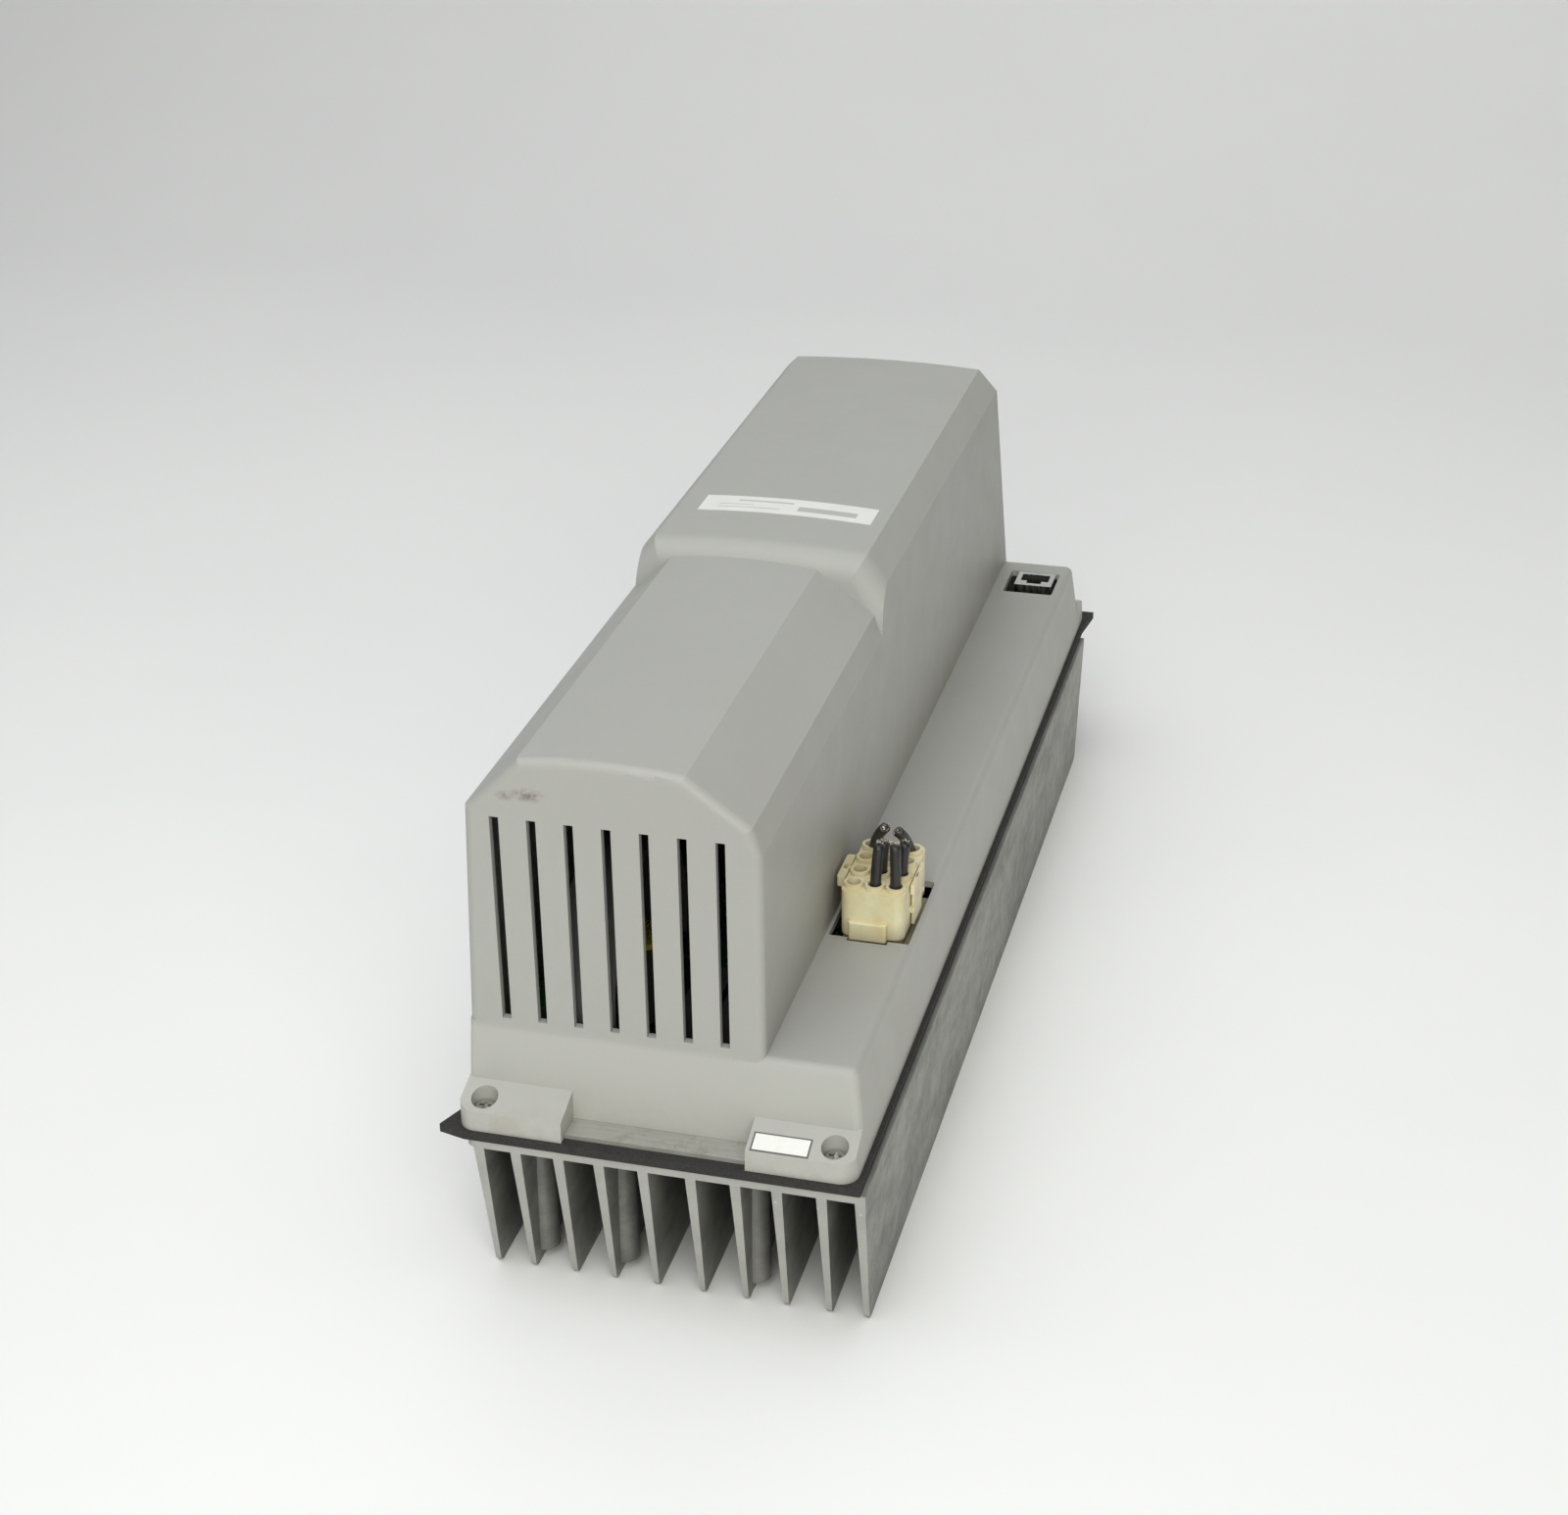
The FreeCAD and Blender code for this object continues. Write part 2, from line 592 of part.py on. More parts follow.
def rear_hump(inset):
    y0 = STEP_Y + inset
    body = extruded(hump_section(True, y0), inset, y0, COVER_REAR)
    low = HUMP_TOP - 2 * REAR_CHAMFER[1]
    left = COVER_LEFT + STEP_RADIUS
    body = rounded(body, STEP_RADIUS - inset, lambda p, e: abs(p.y - y0) < 1e-6 and p.z > low and p.x > left)
    return body.cut(rear_cutter(inset, SHELF_TOP - 2 * HUMP_ROOT))


def cover_base(inset, foot):
    """Low part of the cover; outside, the corners and the shelf's edges are rounded."""
    body = extruded(base_section(FOOT_FRONT - BOSS_DEPTH, foot), inset, FOOT_FRONT - BOSS_DEPTH, COVER_REAR)
    body = body.cut(front_cutter(inset, foot - 1)).cut(rear_cutter(inset, foot - 1))
    if inset:
        return body
    seam = HUMP_WALL_X - HUMP_ROOT
    left = body.common(block(COVER_LEFT - 1, seam, COVER_FRONT, COVER_REAR, foot - 1, REAR_TOP))
    right = body.common(block(seam, COVER_RIGHT + 1, COVER_FRONT, COVER_REAR, foot - 1, REAR_TOP))
    tall = SHELF_HEIGHT / 2
    left = rounded(left, FOOT_EDGE_RADIUS, lambda p, e: e.BoundBox.ZLength > tall and p.x < 0)
    right = rounded(right, EDGE_RADIUS, lambda p, e: p.x > seam + 1 and p.z > foot + 1)
    return left.fuse(right)


def cover_core(inset, foot):
    """The cover's solid envelope, shrunk by inset for the hollow inside."""
    body = cover_base(inset, foot).fuse(front_hump(inset)).fuse(rear_hump(inset))
    return body.removeSplitter()


def boss(side, end):
    """One corner boss: a block with an inclined top that slopes down and outwards."""
    y_out = COVER_FRONT if end < 0 else COVER_REAR
    y_in = y_out - end * BOSS_DEPTH
    top = GASKET_TOP + BOSS_FACE
    profile = [(y_out, GASKET_TOP), (y_out - end * 0.4, top), (y_in, top + BOSS_RISE), (y_in, GASKET_TOP)]
    outer = COVER_LEFT if side < 0 else COVER_RIGHT
    inner = outer - side * BOSS_WIDTH
    body = prism_x(profile, min(outer, inner), max(outer, inner))
    tall = BOSS_FACE - 1
    body = rounded(body, BOSS_CORNER, lambda p, e: abs(p.x - outer) < 1e-6 and abs(p.y - y_out) < 1.0
                   and e.BoundBox.ZLength > tall)
    lean = math.tan(math.radians(WALL_LEAN)) if side < 0 else SIDE_FLARE / SHELF_HEIGHT
    high = GASKET_TOP + 40.0
    trim = [(outer, GASKET_TOP), (outer + side * 30, GASKET_TOP), (outer + side * 30, high),
            (outer - side * 40.0 * lean, high)]
    return body.cut(prism_y(trim, COVER_FRONT - 1, COVER_REAR + 1))


def vent_slots():
    z0 = SHELF_TOP + SLOT_ABOVE_SHELF
    first = SLOT_MIDDLE_X - (SLOT_COUNT - 1) * SLOT_PITCH / 2
    return [block(first + i * SLOT_PITCH - SLOT_WIDTH / 2, first + i * SLOT_PITCH + SLOT_WIDTH / 2,
                  FACE_FRONT - 5, FACE_FRONT + COVER_WALL + 5, z0, z0 + SLOT_HEIGHT)
            for i in range(SLOT_COUNT)]


def plug_window():
    """Window for the plug, notched in front for its key; it also thins the side wall below."""
    low, high = SHELF_TOP - PLUG_WALL_RELIEF, SHELF_TOP + COVER_WALL
    window = rounded_block(HUMP_WALL_X + PLUG_WINDOW_LEFT, PLUG_RIGHT + PLUG_WINDOW_RIGHT,
                           PLUG_Y - PLUG_WINDOW_FRONT, PLUG_REAR + PLUG_WINDOW_BACK, low, high, 1.0)
    half = KEY_WIDTH / 2 + KEY_NOTCH_GAP
    middle = PLUG_X - KEY_OFFSET
    return window.fuse(block(middle - half, middle + half, PLUG_Y - KEY_PROUD - KEY_NOTCH_GAP, PLUG_Y + 1,
                             low, high))


def jack_window():
    half = JACK_WIDTH / 2
    return rounded_block(JACK_X - half - JACK_WINDOW_LEFT, JACK_X + half + JACK_WINDOW_RIGHT,
                         JACK_FRONT - JACK_WINDOW_FRONT, JACK_REAR + JACK_WINDOW_BACK,
                         SHELF_TOP - 2 * COVER_WALL, SHELF_TOP + COVER_WALL, 1.0)


def cover():
    shell = cover_core(0.0, GASKET_TOP)
    shell = shell.cut(cover_core(COVER_WALL, GASKET_TOP - 20))
    for side in (-1, 1):
        for end in (-1, 1):
            shell = shell.fuse(boss(side, end))
    shell = shell.removeSplitter()
    pocket = block(CHASSIS_LEFT - CHASSIS_CLEARANCE, CHASSIS_RIGHT + CHASSIS_CLEARANCE,
                   CHASSIS_FRONT - CHASSIS_CLEARANCE, CHASSIS_REAR + CHASSIS_CLEARANCE,
                   GASKET_TOP - 1, CHASSIS_TOP + RUNNING_GAP)
    shell = shell.cut(pocket)
    for cutter in vent_slots() + [plug_window(), jack_window()]:
        shell = shell.cut(cutter)
    for x, y in SCREW_SPOTS:
        shell = shell.cut(post(x, y, WELL_BOTTOM, SHELF_TOP, WELL_RADIUS))
        shell = shell.cut(post(x, y, GASKET_TOP - 1, WELL_BOTTOM + 1, M4_CLEARANCE_RADIUS))
        shell = shell.cut(post(x, y, CHASSIS_TOP, CHASSIS_TOP + RETAINER_THICKNESS + 3 * RUNNING_GAP,
                               RETAINER_RADIUS + RUNNING_GAP))
    return shell


def screw_retainers():
    z0 = CHASSIS_TOP + 2 * RUNNING_GAP
    return [ring(x, y, z0, z0 + RETAINER_THICKNESS, RETAINER_RADIUS, M4_TAP_RADIUS) for x, y in SCREW_SPOTS]


def captive_screw(x, y):
    tip = GASKET_TOP - NUT_HEIGHT + RUNNING_GAP
    return pan_screw(x, y, WELL_BOTTOM, tip, M4_SCREW_RADIUS, HEAD_RADIUS, HEAD_HEIGHT)


def column_spots():
    xs = (BOARD_LEFT + COLUMN_INSET, BOARD_RIGHT - COLUMN_INSET)
    ys = (BOARD_FRONT + COLUMN_INSET, (BOARD_FRONT + BOARD_REAR) / 2, BOARD_REAR - REAR_COLUMN_INSET)
    return [(x, y) for x in xs for y in ys]


def board_columns():
    return [ring(x, y, CHASSIS_TOP, BOARD_BOTTOM, COLUMN_RADIUS, M3_TAP_RADIUS) for x, y in column_spots()]


def power_board():
    board = rounded_block(BOARD_LEFT, BOARD_RIGHT, BOARD_FRONT, BOARD_REAR, BOARD_BOTTOM, BOARD_TOP, 2.0)
    for x, y in column_spots():
        board = board.cut(post(x, y, BOARD_BOTTOM - 1, BOARD_TOP + 1, M3_TAP_RADIUS))
    return board


def board_screws():
    return [pan_screw(x, y, BOARD_TOP, BOARD_BOTTOM - 4, M3_SCREW_RADIUS, M3_HEAD_RADIUS, M3_HEAD_HEIGHT)
            for x, y in column_spots()]


def power_module(row):
    """Plastic power module with lower mounting ears on its left and right sides."""
    x0, x1 = module_x()
    y0, y1 = module_rows()[row]
    z0 = GASKET_TOP + THERMAL_PAD
    foot = rounded_block(x0, x1, y0, y1, z0, z0 + MODULE_EAR_HEIGHT, 2.0)
    tower = rounded_block(x0 + MODULE_EAR, x1 - MODULE_EAR, y0, y1, z0, z0 + MODULE_HEIGHT, 1.0)
    body = joined([foot, tower])
    for x, y in module_screw_spots():
        body = body.cut(post(x, y, z0 - 1, z0 + MODULE_EAR_HEIGHT + 1, M4_CLEARANCE_RADIUS))
    return body


def thermal_pads():
    x0, x1 = module_x()
    pads = []
    for y0, y1 in module_rows():
        pads.append(block(x0 + MODULE_EAR, x1 - MODULE_EAR, y0, y1, GASKET_TOP, GASKET_TOP + THERMAL_PAD))
    return pads


def module_screws():
    seat = GASKET_TOP + THERMAL_PAD + MODULE_EAR_HEIGHT
    return [pan_screw(x, y, seat, PLATE_BOTTOM + 1, M4_SCREW_RADIUS, HEAD_RADIUS - 0.4, HEAD_HEIGHT)
            for x, y in module_screw_spots()]


def module_pins():
    x0, x1 = module_x()
    z0 = GASKET_TOP + THERMAL_PAD + MODULE_HEIGHT
    pins = []
    for y0, y1 in module_rows():
        count = int((x1 - x0 - 2 * MODULE_EAR) / MODULE_PIN_PITCH)
        first = (x0 + x1) / 2 - (count - 1) * MODULE_PIN_PITCH / 2
        pins += [post(first + i * MODULE_PIN_PITCH, y, z0, BOARD_BOTTOM, MODULE_PIN_RADIUS)
                 for i in range(count) for y in (y0 + 3.0, y1 - 3.0)]
    return pins


def can_spots():
    """Capacitor cans in two columns, as far left as the clamp and wall allow."""
    left = rear_wall_x(BOARD_TOP + CAN_HEIGHT) + COVER_WALL + CLAMP_MARGIN + CLAMP_GAP + CAN_RADIUS + 1.0
    last = FACE_REAR - CAN_GAP_REAR
    return [(left + i * CAN_PITCH, last - j * CAN_PITCH) for i in range(2) for j in range(CAN_ROWS)]


def capacitor_cans():
    cans = []
    for x, y in can_spots():
        can = post(x, y, BOARD_TOP, BOARD_TOP + CAN_HEIGHT, CAN_RADIUS)
        can = rounded(can, 1.5, lambda p, e: True)
        groove = ring(x, y, BOARD_TOP + 4, BOARD_TOP + 6, CAN_RADIUS + 1, CAN_RADIUS - 0.9)
        cans.append(can.cut(groove))
    return cans


def clamp_post_spots():
    spots = can_spots()
    middle_x = (spots[0][0] + spots[-1][0]) / 2
    ys = sorted({y for x, y in spots})
    return [(middle_x, (a + b) / 2) for a, b in zip(ys, ys[1:])]


def capacitor_clamp():
    spots = can_spots()
    xs, ys = [s[0] for s in spots], [s[1] for s in spots]
    reach = CAN_RADIUS + CLAMP_GAP + CLAMP_MARGIN
    z0 = BOARD_TOP + CLAMP_HEIGHT
    sheet = rounded_block(min(xs) - reach, max(xs) + reach, min(ys) - reach, max(ys) + reach,
                          z0, z0 + CLAMP_THICKNESS, 3.0)
    for x, y in spots:
        sheet = sheet.cut(post(x, y, z0 - 1, z0 + CLAMP_THICKNESS + 1, CAN_RADIUS + CLAMP_GAP))
    for x, y in clamp_post_spots():
        sheet = sheet.cut(post(x, y, z0 - 1, z0 + CLAMP_THICKNESS + 1, M3_TAP_RADIUS))
    return sheet


def clamp_posts():
    return [ring(x, y, BOARD_TOP, BOARD_TOP + CLAMP_HEIGHT, COLUMN_RADIUS, M3_TAP_RADIUS)
            for x, y in clamp_post_spots()]


def clamp_screws():
    seat = BOARD_TOP + CLAMP_HEIGHT + CLAMP_THICKNESS
    return [pan_screw(x, y, seat, seat - 8, M3_SCREW_RADIUS, M3_HEAD_RADIUS, M3_HEAD_HEIGHT)
            for x, y in clamp_post_spots()]


def control_x():
    """Left face of the upright control board."""
    return HUMP_WALL_X - COVER_WALL - CONTROL_WALL_GAP


def control_y():
    middle = (STEP_Y + FACE_REAR - REAR_SLOPE) / 2
    return middle - CONTROL_LENGTH / 2, middle + CONTROL_LENGTH / 2


def control_board():
    x = control_x()
    y0, y1 = control_y()
    z0 = BOARD_TOP + CONTROL_LIFT
    return block(x, x + BOARD_THICKNESS, y0, y1, z0, z0 + CONTROL_HEIGHT)


def control_header():
    """Socket strip that holds the control board's lower edge."""
    x = control_x() + BOARD_THICKNESS / 2
    middle = sum(control_y()) / 2
    y0, y1 = middle - HEADER_LENGTH / 2, middle + HEADER_LENGTH / 2
    body = rounded_block(x - HEADER_WIDTH / 2, x + HEADER_WIDTH / 2, y0, y1, BOARD_TOP,
                         BOARD_TOP + HEADER_HEIGHT, 1.0)
    half = BOARD_THICKNESS / 2 + SOCKET_GAP
    return body.cut(block(x - half, x + half, y0 - 1, y1 + 1, BOARD_TOP + CONTROL_LIFT,
                          BOARD_TOP + HEADER_HEIGHT + 1))


def control_chips():
    x = control_x() + BOARD_THICKNESS
    y0, y1 = control_y()
    z0 = BOARD_TOP + CONTROL_LIFT
    chips = []
    for share_y, share_z, size in CONTROL_CHIPS:
        y, z = y0 + share_y * (y1 - y0), z0 + share_z * CONTROL_HEIGHT
        chips.append(block(x, x + CHIP_HEIGHT, y - size / 2, y + size / 2, z - size / 2, z + size / 2))
    return chips


def choke_middle():
    return SLOT_MIDDLE_X - SLOT_PITCH, FACE_FRONT + CHOKE_FROM_FRONT


def choke_level():
    return BOARD_TOP + CHOKE_BASE + WINDING_THICKNESS


def choke_core():
    x, y = choke_middle()
    z0 = choke_level()
    return ring(x, y, z0, z0 + CHOKE_HEIGHT, CHOKE_RADIUS, CHOKE_BORE)


def choke_windings():
    """Two wound halves wrapped round the ring core."""
    x, y = choke_middle()
    z0 = choke_level()
    t = WINDING_THICKNESS
    gap = 0.05
    section = [(CHOKE_BORE - t, z0 - t), (CHOKE_RADIUS + t, z0 - t),
               (CHOKE_RADIUS + t, z0 + CHOKE_HEIGHT + t), (CHOKE_BORE - t, z0 + CHOKE_HEIGHT + t)]
    hole = [(CHOKE_BORE - gap, z0 - gap), (CHOKE_RADIUS + gap, z0 - gap),
            (CHOKE_RADIUS + gap, z0 + CHOKE_HEIGHT + gap), (CHOKE_BORE - gap, z0 + CHOKE_HEIGHT + gap)]
    halves = []
    for start in (WINDING_TURN - WINDING_ANGLE / 2, WINDING_TURN + 180 - WINDING_ANGLE / 2):
        swept = []
        for points in (section, hole):
            face = Part.Face(Part.makePolygon([V(x + r, y, z) for r, z in points + points[:1]]))
            face.rotate(V(x, y, 0), V(0, 0, 1), start)
            swept.append(face.revolve(V(x, y, 0), V(0, 0, 1), WINDING_ANGLE))
        halves.append(swept[0].cut(swept[1]))
    return halves


def choke_base():
    x, y = choke_middle()
    reach = CHOKE_RADIUS + WINDING_THICKNESS
    return rounded_block(x - reach, x + reach, y - reach, y + reach, BOARD_TOP, BOARD_TOP + CHOKE_BASE, 4.0)


def cable_ends():
    x, y = choke_middle()
    return x, y - CABLE_SPAN / 2 + 8.0, y + CABLE_SPAN / 2 + 8.0


def flat_cable():
    """Flat cable that arches over the choke from one board connector to the other."""
    x, y0, y1 = cable_ends()
    z0 = BOARD_TOP + CABLE_PLUG_HEIGHT
    t = CABLE_THICKNESS
    outer = [V(x, y0, z0), V(x, (y0 + y1) / 2, z0 + CABLE_RISE), V(x, y1, z0)]
    inner = [V(x, y0 + t, z0), V(x, (y0 + y1) / 2, z0 + CABLE_RISE - t), V(x, y1 - t, z0)]
    edges = [Part.Arc(*outer).toShape(), Part.LineSegment(outer[2], inner[2]).toShape(),
             Part.Arc(*inner[::-1]).toShape(), Part.LineSegment(inner[0], outer[0]).toShape()]
    strip = Part.Face(Part.Wire(edges)).extrude(V(CABLE_WIDTH, 0, 0))
    strip.translate(V(-CABLE_WIDTH / 2, 0, 0))
    return strip


def cable_plugs():
    x, y0, y1 = cable_ends()
    plugs = []
    for y in (y0 + CABLE_THICKNESS / 2, y1 - CABLE_THICKNESS / 2):
        plugs.append(rounded_block(x - CABLE_WIDTH / 2 - 2, x + CABLE_WIDTH / 2 + 2, y - CABLE_PLUG_DEPTH / 2,
                                   y + CABLE_PLUG_DEPTH / 2, BOARD_TOP, BOARD_TOP + CABLE_PLUG_HEIGHT, 1.0))
    return plugs


def current_sensors():
    """Three sensors in a row ahead of the capacitor bank, each with a hole for its conductor."""
    wide, deep, high = SENSOR_SIZE
    y = min(s[1] for s in can_spots()) - CAN_RADIUS - 2 * deep
    sensors = []
    for i in range(SENSOR_COUNT):
        x = SLOT_MIDDLE_X + (i - (SENSOR_COUNT - 1) / 2) * SENSOR_PITCH
        body = rounded_block(x - wide / 2, x + wide / 2, y, y + deep, BOARD_TOP, BOARD_TOP + high, 1.0)
        hole = Part.makeCylinder(high / 4, deep + 2, V(x, y - 1, BOARD_TOP + high / 2), V(0, 1, 0))
        sensors.append(body.cut(hole))
    return sensors


def relay():
    wide, deep, high = RELAY_SIZE
    y = min(s[1] for s in can_spots()) - CAN_RADIUS - 5 * deep
    return rounded_block(SLOT_MIDDLE_X - wide / 2, SLOT_MIDDLE_X + wide / 2, y, y + deep,
                         BOARD_TOP, BOARD_TOP + high, 1.0)


def film_capacitors():
    """Suppression capacitors beside the choke."""
    wide, deep, high = FILM_CAP_SIZE
    x0 = choke_middle()[0] + CHOKE_RADIUS + WINDING_THICKNESS + 6.0
    y0 = choke_middle()[1] - CHOKE_RADIUS
    return [rounded_block(x0 + i * (wide + 2), x0 + i * (wide + 2) + wide, y0, y0 + deep,
                          BOARD_TOP, BOARD_TOP + high, 1.5) for i in range(FILM_CAP_COUNT)]


def jack_port(z0, z1):
    """T-shaped opening: the plug's body and, towards the front, its latch."""
    y_back = JACK_REAR - (JACK_DEPTH - JACK_PORT_DEPTH - JACK_NOTCH_DEPTH) / 2
    y_mid = y_back - JACK_PORT_DEPTH
    port = block(JACK_X - JACK_PORT_WIDTH / 2, JACK_X + JACK_PORT_WIDTH / 2, y_mid, y_back, z0, z1)
    notch = block(JACK_X - JACK_NOTCH_WIDTH / 2, JACK_X + JACK_NOTCH_WIDTH / 2,
                  y_mid - JACK_NOTCH_DEPTH, y_mid + 1, z0, z1)
    return port.fuse(notch).removeSplitter()


def data_socket_shield():
    half = JACK_WIDTH / 2
    outer = rounded_block(JACK_X - half, JACK_X + half, JACK_FRONT, JACK_REAR, BOARD_TOP, JACK_TOP, 0.6)
    inner = block(JACK_X - half + JACK_SHEET, JACK_X + half - JACK_SHEET, JACK_FRONT + JACK_SHEET,
                  JACK_REAR - JACK_SHEET, BOARD_TOP - 1, JACK_TOP - JACK_SHEET)
    return outer.cut(inner).cut(jack_port(JACK_TOP - 2, JACK_TOP + 1))


def data_socket_insert():
    half = JACK_WIDTH / 2
    body = block(JACK_X - half + JACK_SHEET, JACK_X + half - JACK_SHEET, JACK_FRONT + JACK_SHEET,
                 JACK_REAR - JACK_SHEET, BOARD_TOP, JACK_TOP - JACK_SHEET)
    return body.cut(jack_port(BOARD_TOP + JACK_FLOOR, JACK_TOP + 1))


def data_socket_contacts():
    """Eight slanted spring wires along the back of the port."""
    y_back = JACK_REAR - (JACK_DEPTH - JACK_PORT_DEPTH - JACK_NOTCH_DEPTH) / 2
    first = JACK_X - (CONTACT_COUNT - 1) * CONTACT_PITCH / 2
    low, high = BOARD_TOP + JACK_FLOOR, JACK_TOP - 2.0
    wires = []
    for i in range(CONTACT_COUNT):
        foot = V(first + i * CONTACT_PITCH, y_back - 2.2, low)
        reach = V(0, 1.6, high - low)
        wires.append(Part.makeCylinder(CONTACT_RADIUS, reach.Length, foot, reach)
                     .cut(block(foot.x - 1, foot.x + 1, foot.y - 2, foot.y + 2, low - 2, low)))
    return wires


def plug_cells():
    """Column, row and plan position of every wire cavity."""
    x0 = PLUG_X - (PLUG_COLUMNS - 1) * PLUG_PITCH_X / 2
    y0 = (PLUG_Y + PLUG_REAR) / 2 - (PLUG_ROWS - 1) * PLUG_PITCH_Y / 2
    return [(c, r, x0 + c * PLUG_PITCH_X, y0 + r * PLUG_PITCH_Y)
            for c in range(PLUG_COLUMNS) for r in range(PLUG_ROWS)]


def latch_pivot(side):
    """Axis of one latch: X, front Y and rear Y of its arm, and Z."""
    face = PLUG_LEFT if side < 0 else PLUG_RIGHT
    x = face + side * (LATCH_GAP + LATCH_ARM / 2)
    y0 = PLUG_Y + LATCH_FROM_FRONT - LATCH_LENGTH / 2
    return x, y0, y0 + LATCH_LENGTH, SHELF_TOP + LATCH_PIVOT_HEIGHT


def pin_y(x, z, y0, y1, radius):
    return Part.makeCylinder(radius, y1 - y0, V(x, y0, z), V(0, 1, 0))


def plug_housing():
    """Rectangular plug with wire cavities, a front key, and lugs for its two latches."""
    seat = SHELF_TOP + PLUG_FLANGE_GAP
    upper = rounded_block(PLUG_LEFT, PLUG_RIGHT, PLUG_Y, PLUG_REAR, seat, PLUG_TOP, PLUG_CORNER)
    lower = block(LOWER_X[0], LOWER_X[1], LOWER_Y[0], LOWER_Y[1], PLUG_FOOT, seat + 1)
    key_x = PLUG_X - KEY_OFFSET
    key = block(key_x - KEY_WIDTH / 2, key_x + KEY_WIDTH / 2, PLUG_Y - KEY_PROUD, PLUG_Y + 1,
                seat, seat + KEY_HEIGHT)
    key = rounded(key, 0.8, lambda p, e: abs(p.y - PLUG_Y + KEY_PROUD) < 1e-6 and p.z > seat + 1e-6)
    parts = [upper, lower, key]
    for side in (-1, 1):
        x, y0, y1, z = latch_pivot(side)
        face = PLUG_LEFT if side < 0 else PLUG_RIGHT
        for a in (y0 - RUNNING_GAP - LUG_LENGTH, y1 + RUNNING_GAP):
            b = a + LUG_LENGTH
            lug = block(min(x, face - side), max(x, face - side), a, b, z - LUG_RADIUS, z + LUG_RADIUS)
            parts.append(lug.fuse(pin_y(x, z, a, b, LUG_RADIUS)))
    parts += [post(x, y, PLUG_TOP - 1, PLUG_TOP + COLLAR_RISE, COLLAR_RADIUS) for c, r, x, y in plug_cells()]
    body = joined(parts)
    for column, row, x, y in plug_cells():
        body = body.cut(post(x, y, PLUG_FOOT + TERMINAL_LENGTH, PLUG_TOP + COLLAR_RISE + 1, CAVITY_RADIUS))
        body = body.cut(post(x, y, PLUG_FOOT - 1, PLUG_FOOT + TERMINAL_LENGTH + 1, TERMINAL_HOLE))
    for side in (-1, 1):
        x, y0, y1, z = latch_pivot(side)
        body = body.cut(pin_y(x, z, y0 - 5, y1 + 5, LATCH_BORE_RADIUS))
    return body


def plug_latch(side):
    """Squeeze latch: an arm on a pin, with a finger wing on top and a slot through the wing."""
    x, y0, y1, z = latch_pivot(side)
    face = PLUG_LEFT if side < 0 else PLUG_RIGHT
    near, far = face + side * LATCH_GAP, face + side * (LATCH_GAP + LATCH_ARM)
    wing_far = face + side * (LATCH_WING_LEFT if side < 0 else LATCH_WING_RIGHT)
    middle = (y0 + y1) / 2
    arm = block(min(near, far), max(near, far), y0, y1, SHELF_TOP + 0.8, PLUG_TOP - 0.5)
    wing = block(min(near, wing_far), max(near, wing_far), middle - LATCH_WING_LENGTH / 2,
                 middle + LATCH_WING_LENGTH / 2, PLUG_TOP - LATCH_WING_HEIGHT, PLUG_TOP)
    wing = rounded(wing, 1.0, lambda p, e: upright(e) and abs(p.x - wing_far) < 1e-6)
    pin = pin_y(x, z, y0 - LUG_LENGTH, y1 + LUG_LENGTH, LATCH_PIN_RADIUS)
    body = joined([arm, wing, pin])
    wide, deep = abs(wing_far - near) * WING_HOLE[0], WING_HOLE[1]
    hole_x = (near + wing_far) / 2
    return body.cut(block(hole_x - wide / 2, hole_x + wide / 2, middle - deep / 2, middle + deep / 2,
                          PLUG_TOP - LATCH_WING_HEIGHT - 1, PLUG_TOP + 1))


def wired_cells():
    cells = {(c, r): (x, y) for c, r, x, y in plug_cells()}
    return [cells[c, r] + (dx, dy, dz) for c, r, dx, dy, dz in WIRE_STUBS]


def plug_terminals():
    z0, z1 = PLUG_FOOT + 0.5, PLUG_FOOT + TERMINAL_LENGTH
    return [ring(x, y, z0, z1, TERMINAL_RADIUS, TERMINAL_BORE) for x, y, dx, dy, dz in wired_cells()]


def wire_path(x, y, dx, dy, dz):
    """Straight up out of the cavity, one tangent arc, then a leaning straight run."""
    start = V(x, y, PLUG_FOOT + TERMINAL_LENGTH)
    knee = V(x, y, PLUG_TOP + COLLAR_RISE + 1.0)
    tip = V(x + dx, y + dy, PLUG_TOP + COLLAR_RISE + 1.0 + dz)
    lean = (tip - knee).normalize()
    turn = lean.getAngle(V(0, 0, 1))
    back = WIRE_BEND_RADIUS * math.tan(turn / 2)
    a, b = knee - V(0, 0, back), knee + lean * back
    centre_dir = (lean - V(0, 0, 1)).normalize()
    middle = knee + centre_dir * (WIRE_BEND_RADIUS / math.cos(turn / 2) - WIRE_BEND_RADIUS)
    wire = Part.Wire([Part.LineSegment(start, a).toShape(), Part.Arc(a, middle, b).toShape(),
                      Part.LineSegment(b, tip).toShape()])
    return wire, tip, lean


def wire_stubs():
    stubs = []
    for cell in wired_cells():
        path, tip, lean = wire_path(*cell)
        circle = Part.Wire(Part.makeCircle(WIRE_RADIUS, path.Vertexes[0].Point, V(0, 0, 1)))
        stubs.append(path.makePipeShell([circle], True, False))
    return stubs


def wire_strands():
    strands = []
    for cell in wired_cells():
        path, tip, lean = wire_path(*cell)
        strands.append(Part.makeCylinder(STRAND_RADIUS, STRAND_LENGTH, tip, lean))
    return strands


